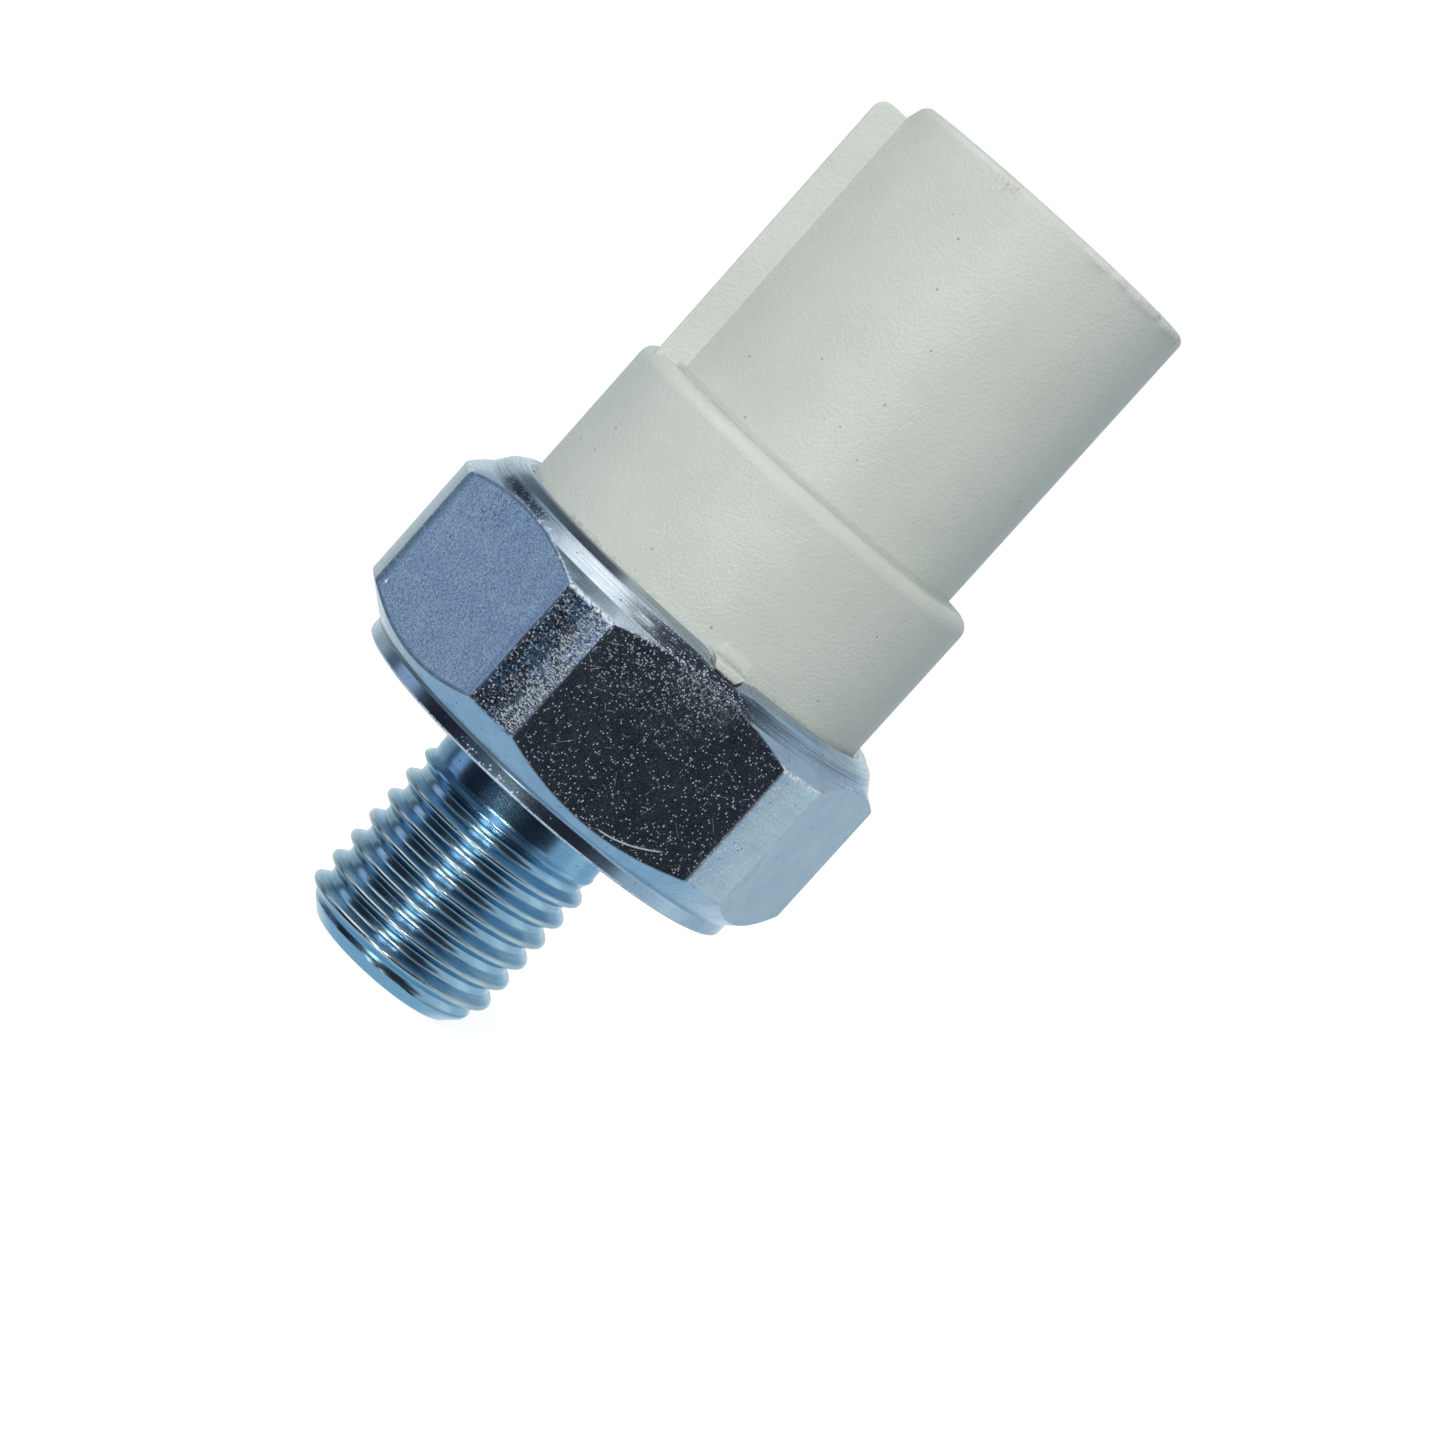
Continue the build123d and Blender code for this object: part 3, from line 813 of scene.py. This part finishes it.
def steel_specks(f, s):
    """Bright dots, crowded under the notch and on strip B, and short strokes turned every way."""
    point, z = s.point, s.z
    by_notch = s.azimuth.hump(radians(8), radians(10), radians(10))
    s.lively = s.azimuth.hump(STRIP_B + radians(3.6), radians(1.8), radians(2.4))
    scoured = s.u.hump(-1.6, 2.0, 1.6) * z.rise(5.6, 8.6) * s.on_c
    crowded = (s.border.size() / 0.6).fall(0.1, 1.0) * z.rise(7.9, 8.6) * by_notch
    crowded = crowded.most(scoured * 0.75).most(s.lip * by_notch * z.fall(9.85, 10.0) * 0.6)
    dots = f.specks(point, 8.0, 0.33, 0.37).most(f.specks(point, 3.6, 0.22, 0.20))
    dots = dots * s.worked * (1 - s.on_a * 0.8)
    dots = dots.most(f.specks(point, 9.0, 0.45, 0.45) * crowded)
    s.dots = dots.most(f.specks(point, 17.0, 0.20, 0.46) * s.on_b * (0.35 + s.lively * 0.65))

    strokes = f.dashes(s.across, z, 0.9, 0.30, 0.42, 0.013) * 0.7
    strokes = strokes.most(f.dashes(s.across, z + 7.0, 2.3, 0.20, 0.16, 0.014))
    round_way = s.azimuth * FLATS_R
    strip_strokes = f.dashes(round_way, z * 3.0, 3.4, 0.7, 0.15, 0.05) * (0.25 + s.lively * 0.75)
    strip_strokes = strip_strokes.most(f.dashes(round_way, z + 5.0, 5.5, 0.40, 0.08, 0.018))
    s.strokes = (strokes * s.flat * (0.55 + scoured * 0.35)).most(strip_strokes * s.strip)


def steel_wear(f, s):
    """Wear at the flats' borders, strongest where two turned bevels meet the strips, and at other edges;
    painted shade lines at the flats' borders and the washer face's foot, and painted glints on the washer
    band.
    """
    point, z, r = s.point, s.z, s.r
    wear_width = 0.04 + f.patches(point, 2.2, 0.42, 0.75) * 0.24
    side_toward = s.azimuth.hump(radians(-16), radians(26), radians(10))
    upper = z.rise(7.9, 8.4) * (0.35 + side_toward * 0.65)
    worn = (s.border / wear_width).fall(0.3, 1.0) * z.rise(0.75, 0.9) * z.fall(9.5, 9.7)
    s.worn = worn * f.patches(point, 4.5, 0.50, 0.60) * (0.12 + upper * 0.88)
    # Thin dark lines along the flats' borders over the front: painted shade.
    edge_line = (s.border / 0.05).fall(0.3, 1.0) * s.hexagon * (1 - upper)
    s.edge_line = edge_line * s.azimuth.hump(-0.3, 0.95, 0.1)
    strip_top = z.hump(HEX_HIGH_Z, 0.05, 0.13) * s.turned * r.rise(11.7, 11.95)
    s.strip_top = strip_top * f.patches(point, 4.0, 0.38, 0.5)
    seat_edge = z.hump(0.03, 0.06, 0.06) * r.rise(10.1, 10.25)
    seat_edge = seat_edge * f.patches(point, 3.2, 0.36, 0.46, detail=2.0)
    # Bright specks on the washer band only over the stretch where the light glints: real scuffs, with
    # painted glints.
    by_seat = z.hump(0.22, 0.12, 0.2) * s.azimuth.hump(radians(-12), radians(8), radians(4))
    s.seat_edge = seat_edge.most(f.specks(point, 7.0, 0.55, 0.45) * by_seat)
    # A thin dark line in the crease at the washer face's foot, fading out towards the right: painted shade.
    s.foot_line = z.hump(0.76, 0.04, 0.10) * r.fall(10.5, 10.75) * s.x.fall(-5.0, 4.0)
    s.crest = r.rise(4.80, 4.90) * s.stem * z.fall(-2.2, -1.9)
    s.root = r.fall(4.43, 4.46) * s.stem * z.fall(-2.6, -2.3)


def steel_marks(f, s):
    """Marks in their own places on the faces that show, and painted shade and a painted highlight on the
    lip.
    """
    z, u = s.z, s.u
    arc = ((u - 0.3) ** 2.0 * 0.115 + 1.47 - z).size()
    s.curved_scratch = arc.fall(0.015, 0.05) * u.hump(1.9, 1.2, 0.3) * s.on_c
    s.dust = u.hump(0.0, 1.0, 1.2) * z.rise(7.4, 9.0) * s.on_c
    s.ding = oval((u + 4.25) * 1.8, (z - 2.5) * 2.0).fall(0.01, 0.05) * s.on_a
    scuffs = f.dashes(s.across + 3.0, z, 2.4, 0.8, 0.2, 0.03)
    s.scuffs = scuffs * z.rise(6.9, 7.9) * u.hump(-1.6, 0.8, 0.6) * s.on_a
    smear = s.azimuth.hump(radians(-54), radians(9), radians(5)) * z.hump(9.5, 0.12, 0.16)
    s.smear = smear * f.patches(s.point, 7.0, 0.36, 0.5)
    # The lip's crest is darker over a stretch left of the front: painted shade.
    rolled_dark = s.azimuth.hump(radians(-42), radians(20), radians(9)) * z.hump(10.02, 0.10, 0.12)
    s.rolled_dark = rolled_dark * s.r.rise(9.9, 10.1)
    # A small bright streaky patch on the lip's front, painted as bare metal: painted highlight.
    polished = s.azimuth.hump(radians(-7), radians(0.6), radians(3.2)) * z.hump(9.44, 0.05, 0.10)
    s.polished = polished * s.streaks.rise(0.36, 0.56)


def steel_tone(f, s):
    """The plating's own colour: blue on the stem, bluish where turned and greyer on the flats, except flat
    A, which is painted bluer and lighter: painted light.
    """
    slow = s.mottle.rise(0.3, 0.7)
    steel = f.mix(slow, (0.47, 0.54, 0.65), (0.57, 0.64, 0.73))
    milled = f.mix(slow, (0.48, 0.53, 0.59), (0.58, 0.62, 0.66))
    # Flat A is left out of the greyer milled colour, so it keeps the bluer turned colour: painted
    # reflection.
    steel = f.mix(s.flat.most(s.strip) * (1 - s.on_a), steel, milled)
    steel = f.mix(s.stem * s.z.fall(-0.3, 0.0), steel, (0.27, 0.46, 0.62))
    steel = f.tinted(steel, 0.66 + s.grain * 0.30 + s.sand * 0.34)
    # Flat A is painted lighter, in mottled patches: painted light.
    lit_a = 0.27 + (s.sand.rise(0.35, 0.65) - 0.5) * 0.8 + (s.grain.rise(0.38, 0.62) - 0.5) * 0.5
    steel = f.tinted(steel, 1 + s.on_a * lit_a)
    return f.mix(s.rings.rise(0.35, 0.8) * s.turned * 0.35, steel, (0.70, 0.76, 0.81))


def steel_dark(s):
    """How dark each place is: pits, rings, smears and scuffs, the lip's streaks lightened where the lip
    shines (painted highlight), and painted shade in lines at the edges, on the lip's crest and inner round,
    on strip B and on flat C.
    """
    streaks = s.streaks
    dark = (s.pits * 0.5).most(s.fine_rings.rise(0.66, 0.8) * 0.3 * s.turned)
    dark = dark.most(s.foot_line * 0.8).most(s.edge_line * 0.6)
    # The lip's turning streaks are darkened, less where the lip shines: painted highlight on real streaks.
    shining = s.azimuth.hump(radians(-25), radians(9), radians(8))
    dark = dark.most(streaks.rise(0.50, 0.62) * (0.6 - shining * 0.3) * s.lip)
    dark = dark.most(s.smear * 0.9).most(s.rolled_dark * (0.6 + streaks * 0.5))
    # Strip B is painted dark between its specks, a little less on its lively band: painted shade.
    dark = dark.most(s.on_b * s.grit.rise(0.34, 0.48) * (0.96 - s.lively * 0.12))
    # Flat C is painted darker all over, with grain in the dark: painted shade. The scuffs on flat A are
    # real marks.
    dark = dark.most(s.on_c * (0.29 + s.sand.rise(0.38, 0.56) * 0.42)).most(s.scuffs * 0.7)
    # A dark line on the lip's inner round next to the barrel: painted shade between the parts.
    dark = dark.most(s.r.hump(9.68, 0.07, 0.08) * s.z.rise(9.95, 10.05) * streaks.rise(0.36, 0.56) * 0.7)
    # A dark line along flat A's borders, except at its right end, with grain in it: painted shade.
    border_a = s.on_a * (s.border / 0.28).fall(0.2, 1.0) * s.u.fall(4.0, 5.2)
    return dark.most(border_a * s.grain.rise(0.3, 0.6) * 0.7).least(1.0)


def steel_bright(s):
    """How much bare metal shows, with a painted highlight on the lip."""
    bright = (s.dots * 0.9).most(s.strokes * 0.8).most(s.curved_scratch * 0.8).most(s.ding).most(s.polished)
    return bright.most(s.worn * 0.8).most(s.strip_top * 0.9).most(s.seat_edge * 0.9).least(1.0)


def steel_colour(f, s):
    """The plating with its darks and painted shade, its dust, the thread's wear, and the bare metal and
    painted highlight on top.
    """
    # The colour for pits, smears and scuffs, and for the painted shade on strip B and flat C, bluer on
    # strip B.
    shade = f.mix(s.on_b * s.mottle.rise(0.45, 0.6), (0.035, 0.045, 0.07), (0.05, 0.13, 0.30))
    bare = f.mix(s.grain.rise(0.4, 0.6), (0.54, 0.68, 0.90), (0.88, 0.90, 0.90))
    dust = s.dust * f.patches(s.point, 4.0, 0.36, 0.66, detail=4.0) * 0.75
    steel = f.mix(steel_dark(s), steel_tone(f, s), shade)
    steel = f.mix(dust, steel, (0.62, 0.64, 0.64))
    steel = f.mix(s.on_a * s.u.rise(5.0, 5.9) * 0.35, steel, (0.80, 0.86, 0.92))
    steel = f.mix(s.crest * 0.6, steel, (0.78, 0.76, 0.70))
    steel = f.mix(s.root * 0.35, steel, (0.70, 0.78, 0.82))
    return f.mix(s.bright, steel, bare)


def steel_height(s):
    """The relief that the light picks up: grain and rings, pits, streaks and scratches."""
    calm = 1 - s.z.hump(0.0, 0.75, 0.1) * 0.85
    grained = (s.grain * 0.7 + s.sand * 0.9) * s.worked * (1 + s.on_a)
    ringed = (s.rings * 0.4 + s.fine_rings * 0.3) * s.turned * calm
    ground = grained + ringed - s.pits * 0.8 + s.streaks * s.lip * 0.7
    return ground - s.strokes * 0.5 - s.curved_scratch * 0.8


def zinc_steel():
    """Turned and milled steel with blue-passivated zinc: brushed where turned, grained on the flats."""
    material, f = finish_named("zinc_steel")
    s = body_regions(f)
    steel_grain(f, s)
    steel_specks(f, s)
    steel_wear(f, s)
    steel_marks(f, s)
    s.bright = steel_bright(s)
    matt = (s.bright * 0.8).most(s.dust * s.grain.rise(0.45, 0.75) * 0.5)
    matt = matt.most(s.foot_line * 0.5).most(s.edge_line * 0.3)
    rough = 0.16 + s.flat * 0.09 + s.strip * 0.06 + s.mottle * 0.06 + s.grain * 0.05
    rough = rough - s.rings.rise(0.4, 0.8) * s.turned * 0.05 + s.bright * 0.1
    f.surface(Base_Color=steel_colour(f, s), Metallic=1 - matt, Roughness=rough,
              Normal=f.bumped(steel_height(s), 0.02, 0.5))
    return material


def cream_plastic():
    """Cream mouldings: a soft pebble in the mould's skin, fine specks, grime where the lip grips, and
    painted shade in the crease at the hood's foot.
    """
    material, f = finish_named("cream_plastic")
    point, x, y, z = f.places()
    r, azimuth = from_axis(x, y), round_axis(x, y)
    clouds = f.cloud(point, 0.22, 4.0, 0.6)
    pebble = f.cloud(point, 6.0, 2.0, 0.55)
    fine = f.cloud(point, 13.0, 2.0, 0.6)
    dark = f.specks(point, 1.25, 0.22, 0.10)
    pale = f.specks(point, 2.3, 0.20, 0.10)
    # A dark ring in the crease where the hood meets the shoulder: painted shade.
    fold = r.hump(8.16, 0.06, 0.24) * z.hump(17.92, 0.05, 0.22)
    on_key = azimuth.hump(radians(NOTCH_TURN), radians(4.2), radians(0.6)) * r.rise(9.6, 9.75)
    crust = on_key * z.rise(9.4, 9.6) * z.fall(9.80, 9.92)
    lip_dirt = r.hump(9.5, 0.05, 0.05) * z.hump(10.22, 0.05, 0.14)
    lip_dirt = lip_dirt * f.patches(point, 1.7, 0.45, 0.7, detail=4.0)
    stain = oval((x + 2.2) * 0.9, (z - 33.1) * 1.2).fall(0.05, 0.5) * f.patches(point, 5.0, 0.45, 0.6)
    stain = stain * y.fall(-7.0, -5.0)
    flash = azimuth.hump(radians(52), radians(36), radians(3)) * z.rise(32.95, 33.05) * r.rise(7.8, 7.9)

    cream = f.mix(clouds.rise(0.3, 0.7), (0.585, 0.628, 0.575), (0.625, 0.668, 0.615))
    cream = f.tinted(cream, 0.97 + fine * 0.06)
    cream = f.mix(dark * 0.6, cream, (0.20, 0.18, 0.15))
    cream = f.mix(pale * 0.5, cream, (0.80, 0.82, 0.78))
    # Painted shade in the crease at the hood's foot, and grime where the lip grips.
    cream = f.mix((fold * 0.40).most(lip_dirt * 0.5), cream, (0.30, 0.32, 0.30))
    cream = f.mix(crust * f.patches(point, 6.0, 0.35, 0.6), cream, (0.16, 0.11, 0.07))
    cream = f.mix(stain * 0.5, cream, (0.42, 0.30, 0.20))
    cream = f.mix(flash * fine.rise(0.35, 0.6) * 0.45, cream, (0.80, 0.81, 0.77))
    rough = 0.30 + fine * 0.08 + clouds * 0.06
    f.surface(Base_Color=cream, Roughness=rough, Specular_IOR_Level=0.65,
              Normal=f.bumped(pebble * 0.8 + fine * 0.30, 0.075, 0.6))
    return material


def black_rubber():
    """Dull black rubber with a faint bloom."""
    material, f = finish_named("black_rubber")
    point = f.places()[0]
    bloom = f.cloud(point, 0.6, 4.0, 0.6)
    grain = f.cloud(point, 11.0, 3.0, 0.6)
    colour = f.mix(bloom.rise(0.35, 0.75), (0.022, 0.022, 0.023), (0.060, 0.060, 0.058))
    f.surface(Base_Color=colour, Roughness=0.62 + grain * 0.2, Normal=f.bumped(grain, 0.02, 0.4))
    return material


def amber_film():
    """Smooth amber film with two faint rings where its neighbours press."""
    material, f = finish_named("amber_film")
    point, x, y = f.places()[:3]
    r = from_axis(x, y)
    drift = f.cloud(point, 0.4, 3.0, 0.5)
    grain = f.cloud(point, 9.0, 2.0, 0.6)
    print_ring = r.hump(6.0, 0.05, 0.08) + r.hump(3.1, 0.04, 0.06)
    colour = f.mix(drift.rise(0.3, 0.7), (0.60, 0.27, 0.045), (0.78, 0.40, 0.09))
    colour = f.mix(print_ring * 0.4, colour, (0.34, 0.15, 0.03))
    f.surface(Base_Color=colour, Roughness=0.18 + grain * 0.12, Coat_Weight=0.4,
              Normal=f.bumped(grain, 0.006, 0.3))
    return material


def plain_steel():
    """Turned steel: rings round the axis in a dull grey."""
    material, f = finish_named("plain_steel")
    point, x, y, z = f.places()
    r = from_axis(x, y)
    rings = f.cloud(f.at(r * 14, z * 14, (x + y * 0.6) * 0.15), 1.0, 3.0, 0.7)
    smear = f.cloud(point, 0.9, 4.0, 0.6)
    colour = f.mix(rings.rise(0.3, 0.75), (0.42, 0.42, 0.42), (0.66, 0.66, 0.65))
    colour = f.mix(smear.rise(0.6, 0.8) * 0.4, colour, (0.36, 0.31, 0.25))
    f.surface(Base_Color=colour, Metallic=1.0, Roughness=0.26 + smear * 0.2,
              Normal=f.bumped(rings, 0.01, 0.4))
    return material


def brown_laminate():
    """Brown insulating moulding with fine filler in it."""
    material, f = finish_named("brown_laminate")
    point, x, y, z = f.places()
    flow = f.cloud(f.at(x * 0.5, y * 0.5, z * 2.0), 1.2, 4.0, 0.65)
    filler = f.specks(point, 6.0, 0.35, 0.25)
    colour = f.mix(flow.rise(0.3, 0.7), (0.155, 0.075, 0.032), (0.26, 0.135, 0.062))
    colour = f.mix(filler * 0.45, colour, (0.42, 0.28, 0.16))
    f.surface(Base_Color=colour, Roughness=0.42 + flow * 0.2, Normal=f.bumped(flow, 0.02, 0.3))
    return material


def rolled_metal(name, dark, pale, stain, rough, grain_scale):
    """Rolled or drawn metal: fine lines along its length and a little tarnish."""
    material, f = finish_named(name)
    point, x, y, z = f.places()
    along = f.cloud(f.at(x * grain_scale, y * 0.6, z * 0.6), 1.0, 3.0, 0.7)
    tarnish = f.cloud(point, 0.8, 4.0, 0.65)
    pits = f.specks(point, 3.5, 0.2, 0.14)
    colour = f.mix(along.rise(0.3, 0.75), dark, pale)
    colour = f.mix(tarnish.rise(0.55, 0.8) * 0.5, colour, stain)
    colour = f.mix(pits * 0.5, colour, tuple(c * 0.3 for c in dark))
    f.surface(Base_Color=colour, Metallic=1.0, Roughness=rough + tarnish * 0.16,
              Normal=f.bumped(along, 0.008, 0.35))
    return material


# Dark, pale and tarnished colour, roughness, and how close the lines lie
ROLLED_METALS = {
    "contact_bronze": ((0.60, 0.36, 0.19), (0.80, 0.54, 0.32), (0.38, 0.22, 0.12), 0.24, 12),
    "silver_contact": ((0.72, 0.71, 0.68), (0.88, 0.87, 0.84), (0.48, 0.42, 0.30), 0.22, 9),
    "spring_wire": ((0.40, 0.40, 0.42), (0.60, 0.60, 0.62), (0.34, 0.28, 0.22), 0.24, 8),
    "tinned_brass": ((0.60, 0.61, 0.60), (0.78, 0.78, 0.76), (0.58, 0.50, 0.32), 0.26, 12),
}
FINISHES = {
    "zinc_steel": zinc_steel(),
    "cream_plastic": cream_plastic(),
    "black_rubber": black_rubber(),
    "amber_film": amber_film(),
    "plain_steel": plain_steel(),
    "brown_laminate": brown_laminate(),
}
for name, look in ROLLED_METALS.items():
    FINISHES[name] = rolled_metal(name, *look)

for entry in frame["record"]["subparts"]:
    for slot in frame["nodes"][entry["node"]].material_slots:
        slot.material = FINISHES[entry["material_slot"]]
for piece in (body_piece, housing_piece, spring_piece, left_blade, right_blade):
    piece.data.materials.clear()
    piece.data.materials.append(FINISHES[piece["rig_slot"]])


# Room, floor and light

def white_floor():
    """A pale floor under the stem's end that reads as white and keeps a faint shadow."""
    clear_bench()
    bpy.ops.mesh.primitive_plane_add(size=4, location=(0, 0, (STEM_Z - 0.05) * MM))
    floor = named("white_floor")
    material, f = finish_named("white_paper")
    paper = f.node("ShaderNodeBsdfDiffuse", sockets={"Color": (0.5, 0.5, 0.5, 1)})
    glow = f.node("ShaderNodeEmission", sockets={"Color": (1, 1, 1, 1), "Strength": 0.815})
    lit = f.node("ShaderNodeAddShader", sockets={0: paper, 1: glow})
    under = f.node("ShaderNodeNewGeometry", out="Backfacing")
    clear = f.node("ShaderNodeBsdfTransparent")
    seen = f.node("ShaderNodeMixShader", sockets={0: under, 1: lit, 2: clear})
    f.node("ShaderNodeOutputMaterial", sockets={"Surface": seen})
    floor.data.materials.append(material)
    floor.visible_glossy = False
    floor.visible_diffuse = False
    floor.visible_transmission = False


DARK_WALL = (0.018, 0.022, 0.033)
TO_DEGREES = 180 / pi


def room_walls(f, side, lift, x):
    """What bright metal mirrors: colours by side and lift in degrees, each laid over those before it."""
    round_side, high, low_down = side.size(), lift.rise(26, 36), lift.fall(-52, -34)
    walls = f.mix(side.rise(36, 56), DARK_WALL, (0.475, 0.64, 0.755))
    for share, colour in (
        # low down, from the camera's side round to the back on both sides
        (side.hump(46, 9, 9) * lift.hump(-7, 8, 6), DARK_WALL),
        (side.hump(102, 8, 8), (0.66, 0.86, 0.92)),
        (side.hump(-30, 8, 8), (0.06, 0.09, 0.13)),
        (side.fall(-85, -80), (0.44, 0.60, 0.84)),
        (side.fall(-106, -101), (0.06, 0.09, 0.13)),
        (side.fall(-124, -112), (0.36, 0.48, 0.54)),
        (side.fall(-148, -132), (0.60, 0.72, 0.75)),
        (round_side.rise(150, 168), (0.78, 0.88, 0.92)),
        (lift.fall(-21, -14) * side.fall(-82, -74) * side.rise(-112, -102), (0.08, 0.13, 0.18)),
        # higher up, where the lip and the upper bevel look
        (lift.rise(12, 26), (0.42, 0.54, 0.60)),
        (high * side.rise(-100, -88), (1.60, 1.62, 1.55)),
        (high * side.rise(-52, -30), (0.045, 0.055, 0.075)),
        (high * side.rise(84, 100), (0.44, 0.57, 0.64)),
        (side.hump(-134, 16, 10) * lift.hump(61, 7, 6), (0.11, 0.15, 0.17)),
        (side.hump(-128, 10, 8) * lift.hump(24, 7, 6), (0.12, 0.16, 0.21)),
        (lift.rise(70, 76) * round_side.rise(100, 130), (0.58, 0.68, 0.68)),
        (lift.rise(84, 88), (0.58, 0.68, 0.68)),
        # below
        (low_down, (0.36, 0.57, 0.73)),
        (low_down * x.rise(0.0, 0.5), (0.34, 0.58, 0.74)),
        # the lit window: a column of glints on the thread and a soft sheen on the plastic
        (side.hump(-12, 4, 7) * lift.hump(-37, 13, 6), (1.9, 2.7, 2.8)),
        (side.hump(-19, 2, 4) * lift.hump(8, 5, 4), (7.4, 7.8, 7.8)),
    ):
        walls = f.mix(share, walls, colour)
    return walls


def studio_room():
    """White to the eye, an even grey for matt faces, and windows and dark walls for bright metal."""
    world = bpy.data.worlds.new("studio_room")
    bpy.context.scene.world = world
    world.use_nodes = True
    f = Finish(world.node_tree)
    way = f.node("ShaderNodeTexCoord", out="Generated")
    x = f.node("ShaderNodeSeparateXYZ", sockets={0: way})
    side = round_axis(x, x.beside(1)) * TO_DEGREES
    lift = x.beside(2).maths("ARCSINE") * TO_DEGREES
    path = f.node("ShaderNodeLightPath", out="Is Camera Ray")
    seen = f.mix(path.beside("Is Glossy Ray"), (0.42, 0.42, 0.42), room_walls(f, side, lift, x))
    seen = f.mix(path, seen, (1, 1, 1))
    sky = f.node("ShaderNodeBackground", sockets={"Color": seen, "Strength": 1.0})
    f.node("ShaderNodeOutputWorld", sockets={"Surface": sky})


def lamp(name, turn, lift, distance, size, power, shine):
    """A soft round lamp that faces the sender's middle from a turn and a lift in degrees."""
    clear_bench()
    turn, lift = radians(turn), radians(lift)
    out = Vector((sin(turn) * cos(lift), -cos(turn) * cos(lift), sin(lift)))
    sender_middle = Vector((0, 0, 11 * MM))
    bpy.ops.object.light_add(type="AREA", location=out * distance + sender_middle)
    light = bpy.context.object
    light.name = name
    light.rotation_euler = out.to_track_quat("Z", "Y").to_euler()
    light.data.shape = "DISK"
    light.data.size = size
    light.data.energy = power
    light.visible_glossy = shine
    light.visible_camera = False


white_floor()
studio_room()
lamp("window_light", turn=-20, lift=35, distance=0.6, size=0.35, power=2.25, shine=False)
lamp("flash", turn=-3, lift=7, distance=0.26, size=0.018, power=0.05, shine=True)


# Camera

# The photograph's view: the lens for its frame, where it stands, and how it is rolled, nodded and turned
SENSOR, PHOTO_PIXELS, FOCAL_PIXELS = 36, 1445, 3888
LENS = FOCAL_PIXELS / PHOTO_PIXELS * SENSOR
CAMERA_PLACE = Vector((0, -172.49, 25.84)) * MM
ROLL, NOD, PAN = 0.7334, 0.1075, -0.0243


def photo_camera():
    """The camera where the photographer's stood."""
    clear_bench()
    bpy.ops.object.camera_add(location=CAMERA_PLACE)
    camera = bpy.context.object
    camera.name = "photo_camera"
    level = Matrix(((1, 0, 0), (0, 0, -1), (0, 1, 0)))
    turned = Matrix.Rotation(ROLL, 3, "Z") @ Matrix.Rotation(NOD, 3, "X") @ Matrix.Rotation(PAN, 3, "Y")
    rows = turned @ level
    camera.rotation_euler = Matrix((rows[0], -rows[1], -rows[2])).transposed().to_euler()
    camera.data.sensor_width = SENSOR
    camera.data.lens = LENS
    camera.data.clip_start = 0.01
    camera.data.clip_end = 50
    bpy.context.scene.camera = camera


photo_camera()
bpy.context.scene.view_settings.view_transform = "Standard"
